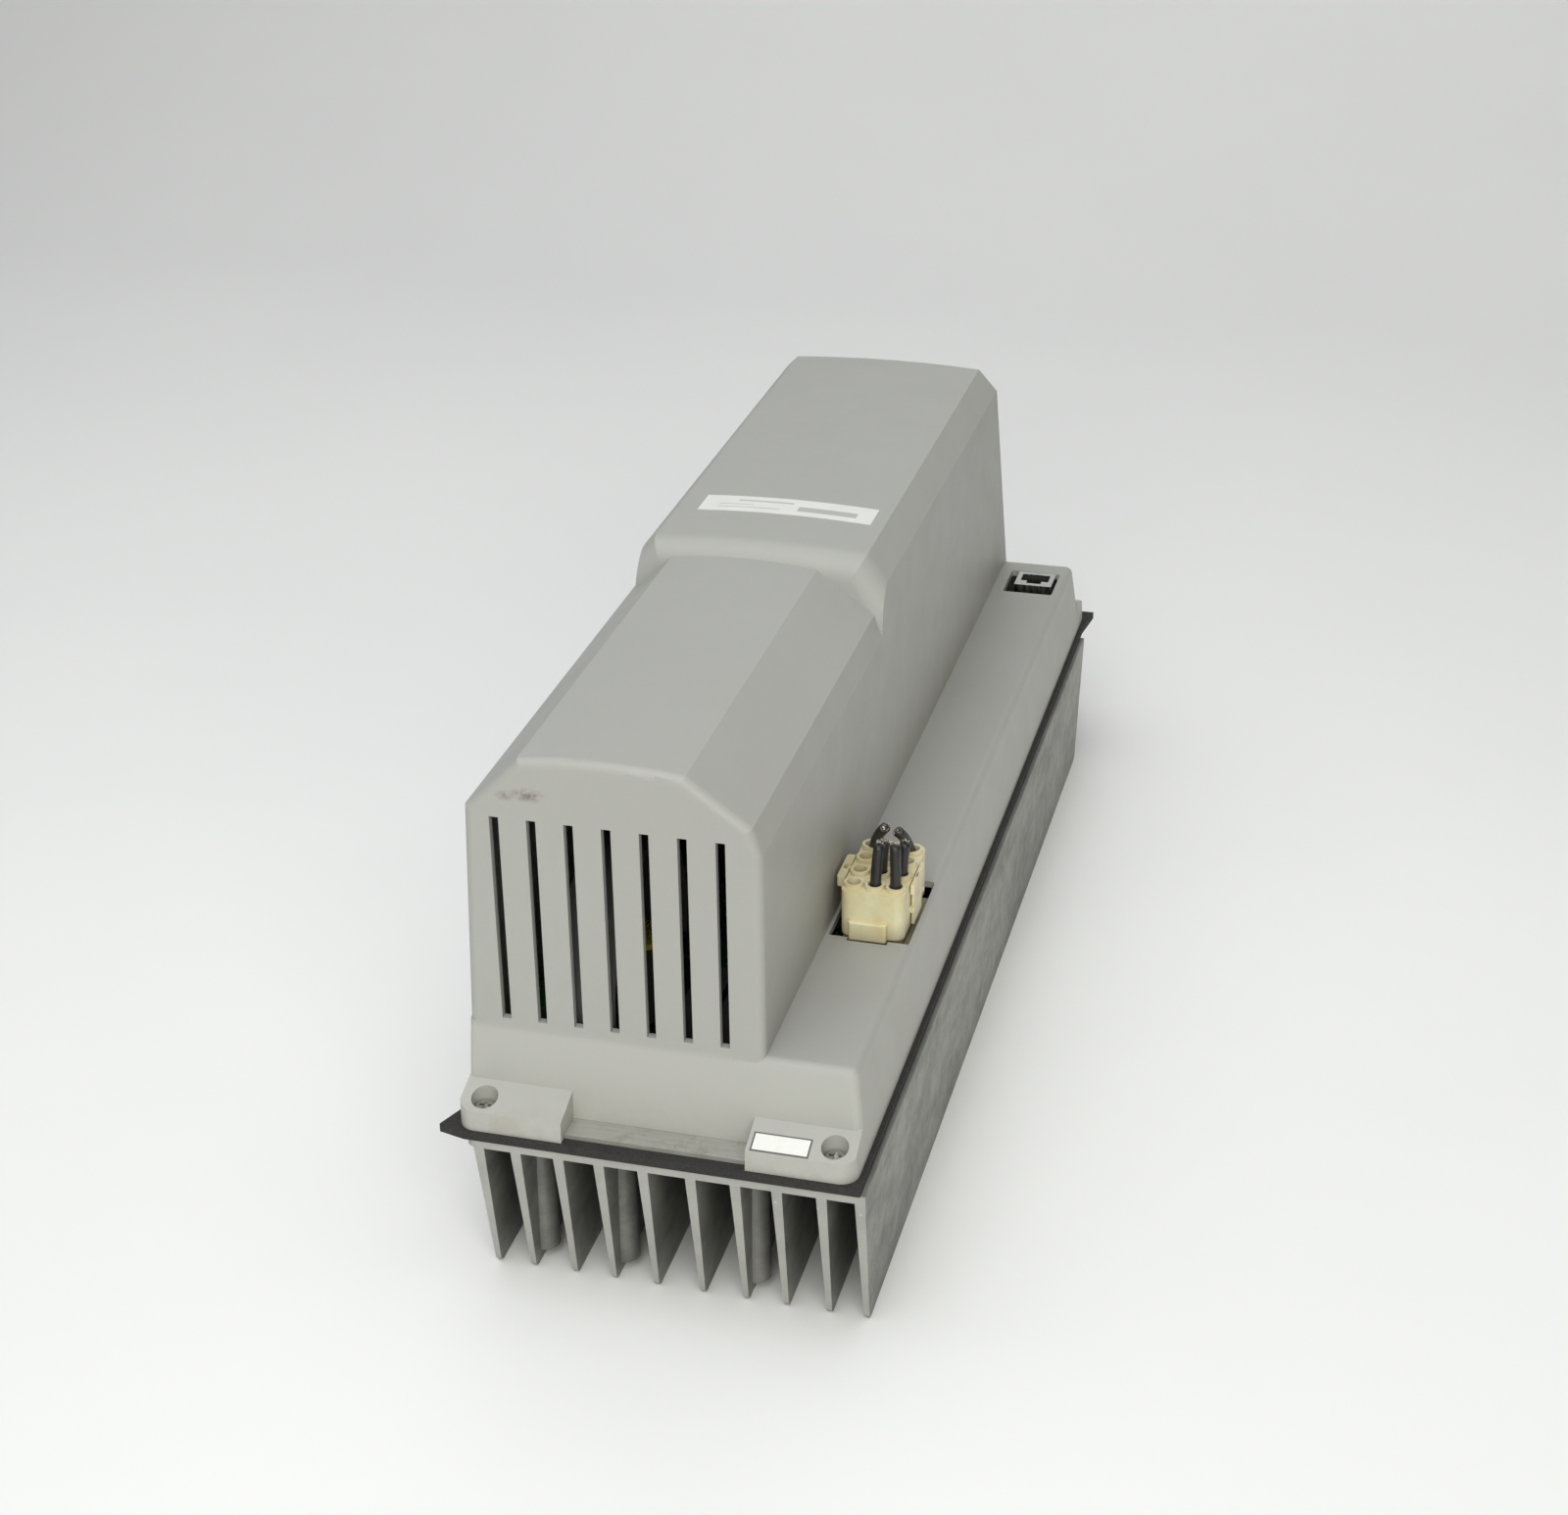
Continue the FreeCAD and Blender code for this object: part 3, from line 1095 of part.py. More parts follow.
def power_header():
    """Board-side socket: floor and four walls round the plug's lower part."""
    g, w = HEADER_GAP, HEADER_WALL
    top = SHELF_TOP - HEADER_BELOW_SHELF
    body = block(LOWER_X[0] - g - w, LOWER_X[1] + g + w, LOWER_Y[0] - g - w, LOWER_Y[1] + g + w,
                 BOARD_TOP, top)
    return body.cut(block(LOWER_X[0] - g, LOWER_X[1] + g, LOWER_Y[0] - g, LOWER_Y[1] + g,
                          BOARD_TOP + HEADER_FLOOR, top + 1))


def header_pins():
    z0 = BOARD_TOP + HEADER_FLOOR
    return [post(x, y, z0, z0 + PIN_LENGTH, PIN_RADIUS) for c, r, x, y in plug_cells()]


def type_label():
    """Thin film that follows the rear hump's crowned top."""
    wide, deep = LABEL_SIZE
    y0 = STEP_Y + LABEL_FROM_STEP
    outline = hump_section(True, y0)
    inside = Part.Face(outline).extrude(V(0, deep, 0))
    raised = inside.copy()
    raised.translate(V(0, 0, LABEL_THICKNESS))
    zone = block(LABEL_MIDDLE_X - wide / 2, LABEL_MIDDLE_X + wide / 2, y0, y0 + deep,
                 REAR_TOP - 2, REAR_TOP + CROWN_RISE + 2)
    return raised.common(zone).cut(inside)


def number_sticker():
    """Small blank sticker on the inclined face of the front right boss."""
    wide, deep = STICKER_SIZE
    x0 = COVER_RIGHT - BOSS_WIDTH + STICKER_FROM_INNER
    run = BOSS_DEPTH - 0.4
    along = V(0, run, BOSS_RISE).normalize()
    normal = V(0, -along.z, along.y)
    start = V(x0, COVER_FRONT + 0.4, GASKET_TOP + BOSS_FACE) + along * STICKER_FROM_FRONT
    corners = [start, start + along * deep, start + along * deep + normal * LABEL_THICKNESS,
               start + normal * LABEL_THICKNESS]
    return prism(corners, V(wide, 0, 0))


def all_nodes():
    nodes = {
        "heat_sink": heat_sink(),
        "sealing_gasket": gasket(),
        "chassis_plate": chassis(),
        "chassis_screws": chassis_screws(),
        "clinch_nuts": clinch_nuts(),
        "cover": cover(),
        "screw_retainers": screw_retainers(),
        "power_board": power_board(),
        "board_columns": board_columns(),
        "board_screws": board_screws(),
        "rectifier_module": power_module(0),
        "inverter_module": power_module(1),
        "thermal_pads": thermal_pads(),
        "module_screws": module_screws(),
        "module_pins": module_pins(),
        "dc_link_capacitors": capacitor_cans(),
        "capacitor_clamp": capacitor_clamp(),
        "clamp_posts": clamp_posts(),
        "clamp_screws": clamp_screws(),
        "control_board": control_board(),
        "control_header": control_header(),
        "control_chips": control_chips(),
        "choke_core": choke_core(),
        "choke_windings": choke_windings(),
        "choke_base": choke_base(),
        "flat_cable": flat_cable(),
        "cable_plugs": cable_plugs(),
        "current_sensors": current_sensors(),
        "charge_relay": relay(),
        "film_capacitors": film_capacitors(),
        "data_socket_shield": data_socket_shield(),
        "data_socket_insert": data_socket_insert(),
        "data_socket_contacts": data_socket_contacts(),
        "power_header": power_header(),
        "header_pins": header_pins(),
        "plug_housing": plug_housing(),
        "plug_latch_left": plug_latch(-1),
        "plug_latch_right": plug_latch(1),
        "plug_terminals": plug_terminals(),
        "wire_stubs": wire_stubs(),
        "wire_strands": wire_strands(),
        "type_label": type_label(),
        "number_sticker": number_sticker(),
    }
    corners = ("front_left", "front_right", "rear_left", "rear_right")
    for name, (x, y) in zip(corners, SCREW_SPOTS):
        nodes["captive_screw_" + name] = captive_screw(x, y)
    return nodes


def main():
    os.makedirs("parts", exist_ok=True)
    nodes = {name: Part.makeCompound(shape) if isinstance(shape, list) else shape
             for name, shape in all_nodes().items()}
    box = Part.makeCompound(list(nodes.values())).BoundBox
    shift = V(-(box.XMin + box.XMax) / 2, -(box.YMin + box.YMax) / 2, -box.ZMin)
    print("shift", shift, "size", box.XLength, box.YLength, box.ZLength)
    for name, shape in nodes.items():
        shape.translate(shift)
        if not shape.isValid():
            print("not valid:", name)
        shape.exportStep(os.path.join("parts", name + ".step"))
    for side in (-1, 1):
        x, y0, y1, z = latch_pivot(side)
        print("latch pivot", side, V(x, (y0 + y1) / 2, z) + shift)
    for x, y in SCREW_SPOTS:
        print("captive screw", V(x, y, WELL_BOTTOM) + shift)


main()
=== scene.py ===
import math
import random
import bmesh
import bpy
from mathutils import Matrix, Vector


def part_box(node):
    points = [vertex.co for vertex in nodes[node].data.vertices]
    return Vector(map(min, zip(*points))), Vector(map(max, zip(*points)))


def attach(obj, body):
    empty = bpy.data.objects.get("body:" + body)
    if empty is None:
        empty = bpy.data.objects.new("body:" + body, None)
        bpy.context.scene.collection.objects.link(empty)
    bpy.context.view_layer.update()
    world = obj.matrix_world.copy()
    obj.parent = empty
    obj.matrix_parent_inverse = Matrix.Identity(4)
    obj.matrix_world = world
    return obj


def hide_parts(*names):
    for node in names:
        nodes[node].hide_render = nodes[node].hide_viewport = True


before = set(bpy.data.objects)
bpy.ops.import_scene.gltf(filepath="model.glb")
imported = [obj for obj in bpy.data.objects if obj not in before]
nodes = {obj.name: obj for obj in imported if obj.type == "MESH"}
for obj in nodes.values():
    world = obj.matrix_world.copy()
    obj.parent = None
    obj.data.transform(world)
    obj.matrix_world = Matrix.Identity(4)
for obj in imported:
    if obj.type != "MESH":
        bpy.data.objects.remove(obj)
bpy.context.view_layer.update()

MM = 0.001


# ---------------------------------------------------------------- material helpers

class Graph:
    """A material's node tree with short calls for the nodes used here."""

    def __init__(self, name):
        self.mat = bpy.data.materials.new(name)
        self.mat.use_nodes = True
        self.tree = self.mat.node_tree
        self.shader = self.tree.nodes["Principled BSDF"]
        self.place = self.tree.nodes.new("ShaderNodeTexCoord").outputs["Object"]

    def node(self, kind, links=(), **props):
        made = self.tree.nodes.new(kind)
        for key, value in props.items():
            setattr(made, key, value)
        for key, value in links:
            self.feed(made.inputs[key], value)
        return made

    def feed(self, socket, value):
        if isinstance(value, bpy.types.NodeSocket):
            self.tree.links.new(value, socket)
        elif isinstance(value, (tuple, list)) and len(value) == 3 and socket.type == "RGBA":
            socket.default_value = (*value, 1.0)
        else:
            socket.default_value = value

    def stretched(self, scale):
        return self.node("ShaderNodeMapping", (("Vector", self.place), ("Scale", scale))).outputs[0]

    def noise(self, scale, detail=4.0, rough=0.55, where=None):
        made = self.node("ShaderNodeTexNoise", (("Vector", where or self.place), ("Scale", scale),
                                                ("Detail", detail), ("Roughness", rough)))
        return made.outputs[0]

    def cells(self, scale):
        made = self.node("ShaderNodeTexVoronoi", (("Vector", self.place), ("Scale", scale)))
        return made.outputs["Distance"]

    def math(self, kind, a, b=0.0):
        return self.node("ShaderNodeMath", ((0, a), (1, b)), operation=kind).outputs[0]

    def times(self, product, *others):
        """The product of two or more values."""
        for value in others:
            product = self.math("MULTIPLY", product, value)
        return product

    def span(self, value, low, high, to_low=0.0, to_high=1.0):
        """to_low up to low, to_high from high on, and a straight ramp between."""
        made = self.node("ShaderNodeMapRange",
                         ((0, value), (1, low), (2, high), (3, to_low), (4, to_high)))
        made.clamp = True
        return made.outputs[0]

    def mix(self, share, a, b):
        """Colour a, turning into b as share goes from 0 to 1."""
        made = self.node("ShaderNodeMix", data_type="RGBA")
        for index, value in ((0, share), (6, a), (7, b)):
            self.feed(made.inputs[index], value)
        return made.outputs[2]

    def axes(self):
        made = self.node("ShaderNodeSeparateXYZ", ((0, self.place),))
        return made.outputs

    def normal_y(self):
        geometry = self.tree.nodes.new("ShaderNodeNewGeometry").outputs["Normal"]
        return self.node("ShaderNodeSeparateXYZ", ((0, geometry),)).outputs[1]

    def near(self, centre, reach, sharp, squash=(1.0, 1.0, 1.0)):
        """1 within sharp times reach of a point of the object, fading to 0 at reach."""
        scale = tuple(1.0 / s for s in squash)
        moved = self.node("ShaderNodeVectorMath", ((0, self.place), (1, tuple(centre))), operation="SUBTRACT")
        scaled = self.node("ShaderNodeVectorMath", ((0, moved.outputs[0]), (1, scale)), operation="MULTIPLY")
        length = self.node("ShaderNodeVectorMath", ((0, scaled.outputs[0]),),
                           operation="LENGTH").outputs["Value"]
        return self.span(length, reach * sharp, reach, 1.0, 0.0)

    def bump(self, height, strength, distance):
        made = self.node("ShaderNodeBump", (("Height", height), ("Strength", strength),
                                            ("Distance", distance)))
        last = self.shader.inputs["Normal"]
        if last.is_linked:
            self.tree.links.new(last.links[0].from_socket, made.inputs["Normal"])
        self.tree.links.new(made.outputs[0], last)

    def finish(self, color, rough, metal=0.0, subsurface=0.0):
        """Feed the shader and return the material."""
        for key, value in (("Base Color", color), ("Roughness", rough), ("Metallic", metal),
                           ("Subsurface Weight", subsurface)):
            self.feed(self.shader.inputs[key], value)
        return self.mat


def moulded(name, color, shade, rough=(0.45, 0.6), grain=2600.0, depth=0.00003, blotch=35.0):
    """Moulded plastic: slow colour drift, fine spark-eroded grain, uneven gloss."""
    g = Graph(name)
    drift = g.span(g.noise(blotch, 5.0), 0.35, 0.7, 0.0, 0.5)
    speck = g.span(g.noise(grain * 0.5, 2.0), 0.3, 0.75, 0.0, 0.18)
    tone = g.mix(drift, color, shade)
    tone = g.mix(speck, tone, shade)
    gloss = g.span(g.noise(blotch * 3.0, 6.0), 0.3, 0.7, *rough)
    g.bump(g.noise(grain, 3.0), 0.35, depth)
    return g.finish(tone, gloss)


def metal(name, color, shade, rough=(0.25, 0.45), streak=(1.0, 1.0, 1.0), scale=600.0, depth=0.00002,
          metallic=1.0):
    """Plated or drawn metal: streaked tone and gloss along one direction."""
    share = 0.6
    g = Graph(name)
    where = g.stretched(streak)
    lines = g.noise(scale, 6.0, 0.65, where)
    tone = g.mix(g.span(lines, 0.3, 0.72, 0.0, share), color, shade)
    tone = g.mix(g.span(g.noise(90.0, 6.0), 0.55, 0.75, 0.0, share), tone, shade)
    gloss = g.span(g.noise(scale * 0.4, 5.0, 0.6, where), 0.3, 0.7, *rough)
    g.bump(lines, 0.4, depth)
    return g.finish(tone, gloss, metallic)


def dress(node, material):
    """Give a CAD node its finished material."""
    slots = nodes[node].data.materials
    slots.clear()
    slots.append(material)


# ---------------------------------------------------------------- the object's places

low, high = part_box("cover")
sink_low, sink_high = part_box("heat_sink")
plug_low, plug_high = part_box("plug_housing")
jack_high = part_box("data_socket_shield")[1]
label_low, label_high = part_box("type_label")
tag_low, tag_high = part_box("number_sticker")
gasket_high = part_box("sealing_gasket")[1]


def cover_material():
    """Pale warm-grey plastic with handling marks, brown scuffs and grime near the foot, painted shade on the
    hump's right wall and painted light on the skirt below the shelf.
    """
    g = Graph("cover_plastic")
    y, z = g.axes()[1:3]
    clean, warm = (0.405, 0.407, 0.392), (0.375, 0.372, 0.347)
    tone = g.mix(g.span(g.noise(9.0, 4.0), 0.35, 0.7, 0.0, 0.55), clean, warm)
    tone = g.mix(g.span(g.noise(1500.0, 2.0), 0.35, 0.75, 0.0, 0.16), tone, (0.33, 0.33, 0.31))
    rub = g.noise(420.0, 8.0, 0.75, g.stretched((1.0, 0.12, 0.5)))
    tone = g.mix(g.span(rub, 0.62, 0.78, 0.0, 0.22), tone, (0.3, 0.29, 0.26))
    foot = g.span(z, gasket_high.z, gasket_high.z + 0.016, 1.0, 0.0)
    ends = g.span(y, low.y + 0.02, low.y + 0.006, 0.0, 1.0)
    patchy = g.span(g.noise(160.0, 7.0, 0.7), 0.42, 0.66)
    grime = g.times(foot, ends, patchy)
    tone = g.mix(g.times(grime, 0.55), tone, (0.2, 0.17, 0.11))
    # scuffs at the slots and the front left boss, a rubbed patch on the base's right side, then smudges with
    # painted shade on the hump's right wall and a band of painted shade along the wall's foot
    for centre, reach, squash, amount, stain_and_shade in (
            ((low.x + 0.0255, low.y + 0.0146, 0.1735), 0.0065, (1.0, 1.0, 0.42), 0.85, (0.1, 0.055, 0.025)),
            ((low.x + 0.018, low.y + 0.0146, 0.1725), 0.0035, (1.0, 1.0, 0.6), 0.8, (0.12, 0.07, 0.03)),
            ((low.x + 0.013, low.y + 0.001, 0.0625), 0.008, (1.4, 1.0, 0.55), 0.6, (0.28, 0.2, 0.1)),
            ((low.x + 0.019, low.y + 0.001, 0.0615), 0.004, (1.0, 1.0, 0.5), 0.6, (0.22, 0.15, 0.07)),
            ((high.x - 0.002, low.y + 0.06, 0.075), 0.02, (1.0, 2.0, 0.5), 0.25, (0.3, 0.28, 0.24)),
            ((0.0345, low.y + 0.1, 0.1), 0.02, (1.0, 1.8, 0.9), 0.35, (0.24, 0.22, 0.18)),
            ((0.0345, high.y - 0.045, 0.1), 0.014, (1.0, 1.0, 0.45), 0.3, (0.22, 0.21, 0.19)),
            ((0.036, low.y + 0.3, 0.0935), 0.06, (0.25, 1.0, 0.1), 0.22, (0.26, 0.24, 0.2))):
        spot = g.near(centre, reach, 0.1, squash)
        ragged = g.span(g.noise(380.0, 8.0, 0.8), 0.4, 0.6)
        tone = g.mix(g.times(spot, ragged, amount), tone, stain_and_shade)
    # painted light: the skirt below the shelf is painted lighter, standing in for light bounced from the
    # floor
    painted_light_skirt = g.span(z, jack_high.z - 0.003, jack_high.z - 0.001, 1.0, 0.0)
    tone = g.mix(g.times(painted_light_skirt, 0.5), tone, (0.5, 0.5, 0.47))
    gloss = g.span(g.noise(60.0, 6.0), 0.3, 0.7, 0.42, 0.56)
    g.bump(g.noise(2400.0, 3.0), 0.25, 0.00003)
    g.bump(g.noise(14.0, 3.0), 0.15, 0.0002)
    return g.finish(tone, gloss)


def casting_material():
    """Die-cast aluminium: dull skin, painted shade between the fins, a painted highlight on the fins' front
    faces, flow marks, bright nicks on the fins' ends.
    """
    g = Graph("cast_aluminium")
    x, y = g.axes()[0:2]
    skin, dark, pale = (0.31, 0.31, 0.285), (0.17, 0.17, 0.16), (0.43, 0.43, 0.395)
    flow = g.noise(55.0, 8.0, 0.7, g.stretched((1.0, 0.45, 1.6)))
    tone = g.mix(g.span(flow, 0.36, 0.64), dark, skin)
    tone = g.mix(g.span(g.noise(22.0, 6.0, 0.7), 0.45, 0.7, 0.0, 0.6), tone, pale)
    tone = g.mix(g.span(g.noise(900.0, 4.0), 0.45, 0.8, 0.0, 0.3), tone, dark)
    drag = g.noise(300.0, 9.0, 0.8, g.stretched((0.3, 0.3, 3.0)))
    tone = g.mix(g.span(drag, 0.66, 0.76, 0.0, 0.7), tone, pale)
    # painted shade: darker going back into the gaps between the fins
    inside = g.times(g.span(x, sink_high.x - 0.0012, sink_high.x - 0.0002, 1.0, 0.0),
                     g.span(y, sink_low.y + 0.002, sink_low.y + 0.02))
    tone = g.mix(g.times(inside, 0.5), tone, (0.08, 0.08, 0.08))
    # painted highlight: faces near the front that face forward are painted lighter
    edge = g.span(y, sink_low.y + 0.0105, sink_low.y + 0.0125, 1.0, 0.0)
    front_face_highlight = g.times(edge, g.span(g.normal_y(), -0.9, -0.7, 1.0, 0.0))
    tone = g.mix(g.times(front_face_highlight, 0.6), tone, (0.5, 0.5, 0.48))
    nick_edge, nick_height, nick_reach = 0.0017, 0.0475, 0.0011
    for step in (0.0, 0.0137, 0.0271, 0.0415, 0.0665):
        spot = g.near((sink_high.x - nick_edge - step, sink_low.y, nick_height), nick_reach, 0.5)
        tone = g.mix(g.times(spot, 0.9), tone, (0.8, 0.8, 0.78))
    gloss = g.span(g.noise(130.0, 7.0, 0.65), 0.3, 0.7, 0.38, 0.62)
    g.bump(g.noise(1400.0, 5.0, 0.7), 0.5, 0.00008)
    g.bump(g.noise(120.0, 5.0, 0.6), 0.4, 0.00025)
    return g.finish(tone, gloss, 0.3)


def foam_material():
    """Black open-cell foam with dust in its pores."""
    g = Graph("foam_rubber")
    pores = g.cells(1500.0)
    tone = g.mix(g.span(pores, 0.05, 0.5), (0.008, 0.008, 0.008), (0.028, 0.027, 0.026))
    tone = g.mix(g.span(g.noise(120.0, 7.0, 0.7), 0.58, 0.75, 0.0, 0.45), tone, (0.09, 0.085, 0.075))
    g.bump(pores, 0.7, 0.00025)
    return g.finish(tone, g.span(g.noise(300.0, 4.0), 0.3, 0.7, 0.75, 0.95))


def chassis_material():
    """Zinc-plated sheet with a film of grime and small brown specks."""
    g = Graph("sheet_steel")
    lines = g.noise(700.0, 6.0, 0.65, g.stretched((0.1, 1.0, 1.0)))
    tone = g.mix(g.span(lines, 0.3, 0.7), (0.36, 0.355, 0.33), (0.46, 0.455, 0.43))
    film = g.noise(110.0, 8.0, 0.75)
    tone = g.mix(g.span(film, 0.5, 0.72, 0.0, 0.55), tone, (0.21, 0.18, 0.12))
    specks = g.span(g.cells(330.0), 0.02, 0.12, 1.0, 0.0)
    tone = g.mix(g.times(specks, g.span(g.noise(70.0), 0.45, 0.6)), tone, (0.07, 0.05, 0.03))
    g.bump(lines, 0.3, 0.00002)
    return g.finish(tone, g.span(film, 0.3, 0.7, 0.5, 0.75), 0.35)


def nylon_material():
    """Aged ivory nylon: uneven yellowing, darker brown towards the bottom."""
    g = Graph("ivory_nylon")
    z = g.axes()[2]
    tone = g.mix(g.span(g.noise(110.0, 5.0), 0.35, 0.68), (0.76, 0.69, 0.47), (0.68, 0.57, 0.33))
    tone = g.mix(g.span(g.noise(700.0, 6.0, 0.7), 0.55, 0.8, 0.0, 0.4), tone, (0.5, 0.42, 0.25))
    # darker brown towards the bottom of the plug
    tone = g.mix(g.span(z, plug_low.z + 0.012, plug_low.z + 0.02, 0.75, 0.0), tone, (0.3, 0.25, 0.16))
    g.bump(g.noise(1800.0, 3.0), 0.25, 0.00003)
    return g.finish(tone, g.span(g.noise(200.0, 5.0), 0.3, 0.7, 0.35, 0.5), subsurface=0.08)


def film_label_material():
    """Blank printed film: pale ground, a thin rule and plain grey bars, no lettering."""
    g = Graph("label_film")
    x, y = g.axes()[0:2]
    tone = g.mix(g.span(g.noise(90.0, 5.0), 0.4, 0.7, 0.0, 0.4), (0.78, 0.78, 0.77), (0.7, 0.7, 0.68))
    wide = label_high.x - label_low.x
    # each bar: from and to as shares of the width, then from and to in metres along Y
    bars = ((0.2, 0.52, 0.0096, 0.0108), (0.1, 0.3, 0.0062, 0.0068), (0.1, 0.46, 0.0036, 0.0042),
            (0.56, 0.9, 0.0036, 0.0078))
    soft = 0.0002
    for a, b, c, d in bars:
        left, right, near_end, far_end = (label_low.x + a * wide, label_low.x + b * wide,
                                          label_low.y + c, label_low.y + d)
        across = g.times(g.span(x, left, left + soft), g.span(x, right, right + soft, 1.0, 0.0))
        along = g.times(g.span(y, near_end, near_end + soft), g.span(y, far_end, far_end + soft, 1.0, 0.0))
        tone = g.mix(g.times(across, along, 0.55), tone, (0.2, 0.2, 0.2))
    return g.finish(tone, g.span(g.noise(200.0), 0.3, 0.7, 0.28, 0.4))


def paper_tag_material():
    """Blank paper sticker with a thin dark rule round it."""
    g = Graph("sticker_paper")
    x, y = g.axes()[0:2]
    rim, soft = 0.0005, 0.0001
    inside = g.times(g.span(x, tag_low.x + rim, tag_low.x + rim + soft),
                     g.span(x, tag_high.x - rim - soft, tag_high.x - rim, 1.0, 0.0),
                     g.span(y, tag_low.y + rim, tag_low.y + rim + soft),
                     g.span(y, tag_high.y - rim - soft, tag_high.y - rim, 1.0, 0.0))
    paper = g.mix(g.span(g.noise(500.0, 6.0), 0.4, 0.75, 0.0, 0.3), (0.86, 0.86, 0.83), (0.76, 0.75, 0.7))
    g.bump(g.noise(2500.0, 4.0), 0.2, 0.00001)
    return g.finish(g.mix(inside, (0.12, 0.12, 0.12), paper), g.span(g.noise(300.0), 0.3, 0.7, 0.5, 0.65))


def laminate_material(name, mask, shade):
    """Circuit board: solder mask over faint copper tracks."""
    g = Graph(name)
    tracks = g.node("ShaderNodeTexBrick", (("Vector", g.place), ("Scale", 160.0), ("Mortar Size", 0.03)))
    tone = g.mix(g.times(tracks.outputs["Fac"], 0.35), mask, shade)
    tone = g.mix(g.span(g.noise(60.0, 5.0), 0.35, 0.7, 0.0, 0.35), tone, shade)
    dust = g.span(g.noise(140.0, 8.0, 0.75), 0.55, 0.75, 0.0, 0.25)
    tone = g.mix(dust, tone, (0.3, 0.29, 0.25))
    g.bump(tracks.outputs["Fac"], 0.2, 0.00004)
    return g.finish(tone, g.span(dust, 0.0, 0.25, 0.25, 0.6))


def winding_material():
    """Close-laid turns under yellow film: ridges run round the ring's section."""
    g = Graph("winding_tape")
    ridges_per_radian = 90.0
    core_low, core_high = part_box("choke_core")
    middle = tuple((core_low + core_high) / 2)
    moved = g.node("ShaderNodeVectorMath", ((0, g.place), (1, middle)), operation="SUBTRACT").outputs[0]
    parts = g.node("ShaderNodeSeparateXYZ", ((0, moved),)).outputs
    angle = g.math("ARCTAN2", parts[1], parts[0])
    turns = g.math("SINE", g.times(angle, ridges_per_radian))
    tone = g.mix(g.span(turns, -1.0, 1.0), (0.42, 0.28, 0.03), (0.85, 0.66, 0.1))
    tone = g.mix(g.span(g.noise(200.0, 5.0), 0.5, 0.75, 0.0, 0.4), tone, (0.35, 0.22, 0.05))
    g.bump(turns, 0.8, 0.0004)
    return g.finish(tone, g.span(g.noise(300.0), 0.3, 0.7, 0.25, 0.4))


def sleeve_material():
    """Capacitor sleeve: dark blue shrink film with pale dust."""
    g = Graph("capacitor_sleeve")
    tone = g.mix(g.span(g.noise(50.0, 4.0), 0.35, 0.7, 0.0, 0.5), (0.02, 0.024, 0.045), (0.035, 0.04, 0.07))
    tone = g.mix(g.span(g.noise(400.0, 7.0, 0.7), 0.6, 0.8, 0.0, 0.25), tone, (0.25, 0.25, 0.25))
    g.bump(g.noise(260.0, 5.0), 0.25, 0.0001)
    return g.finish(tone, g.span(g.noise(90.0, 5.0), 0.3, 0.7, 0.2, 0.38))


STEEL = metal("zinc_steel", (0.6, 0.6, 0.58), (0.34, 0.33, 0.3), (0.22, 0.42), scale=900.0)
TIN = metal("tinned_copper", (0.66, 0.64, 0.6), (0.4, 0.38, 0.34), (0.25, 0.4), scale=1500.0)
SHIELD = metal("shield_steel", (0.66, 0.66, 0.65), (0.4, 0.4, 0.39), (0.18, 0.35), (1.0, 1.0, 0.2), 1800.0)
GOLD = metal("gold_contact", (0.8, 0.58, 0.2), (0.55, 0.38, 0.12), (0.15, 0.3), scale=2000.0)
STRAND = metal("copper_strand", (0.5, 0.47, 0.43), (0.2, 0.16, 0.12), (0.2, 0.4), scale=3000.0)
BLACK = moulded("black_plastic", (0.022, 0.022, 0.023), (0.05, 0.05, 0.05))
MODULE = moulded("module_plastic", (0.035, 0.036, 0.04), (0.06, 0.06, 0.062), blotch=20.0)
EPOXY = moulded("chip_epoxy", (0.025, 0.025, 0.027), (0.05, 0.05, 0.05), (0.5, 0.7), 4000.0)
FERRITE = moulded("ferrite", (0.07, 0.07, 0.072), (0.035, 0.035, 0.035), (0.5, 0.7), 1500.0, 0.0001)
NYLON_WASHER = moulded("retainer_nylon", (0.7, 0.68, 0.62), (0.55, 0.52, 0.45))
SENSOR = moulded("sensor_plastic", (0.03, 0.06, 0.16), (0.05, 0.09, 0.2))
RELAY = moulded("relay_plastic", (0.05, 0.05, 0.055), (0.09, 0.09, 0.09), (0.3, 0.45))
FILM_BOX = moulded("film_box", (0.07, 0.075, 0.08), (0.11, 0.11, 0.11), (0.3, 0.45))
PASTE = moulded("thermal_compound", (0.62, 0.63, 0.65), (0.5, 0.5, 0.52), (0.6, 0.8), 800.0, 0.0002)
CLAMP = moulded("clamp_laminate", (0.4, 0.34, 0.17), (0.5, 0.45, 0.26), (0.4, 0.6), 1200.0)
CABLE = metal("cable_jacket", (0.13, 0.13, 0.135), (0.08, 0.08, 0.08), (0.45, 0.6), (1.0, 0.02, 0.02), 900.0,
              0.0003, metallic=0.0)
WIRE = moulded("wire_insulation", (0.012, 0.012, 0.013), (0.035, 0.034, 0.032), (0.25, 0.5), 900.0,
               0.0001, 300.0)
CERAMIC = moulded("ceramic_chip", (0.36, 0.27, 0.16), (0.26, 0.18, 0.1), (0.4, 0.6), 3000.0)
SLEEVE = sleeve_material()
NYLON = nylon_material()
BOARD = laminate_material("board_laminate", (0.015, 0.1, 0.035), (0.03, 0.17, 0.06))

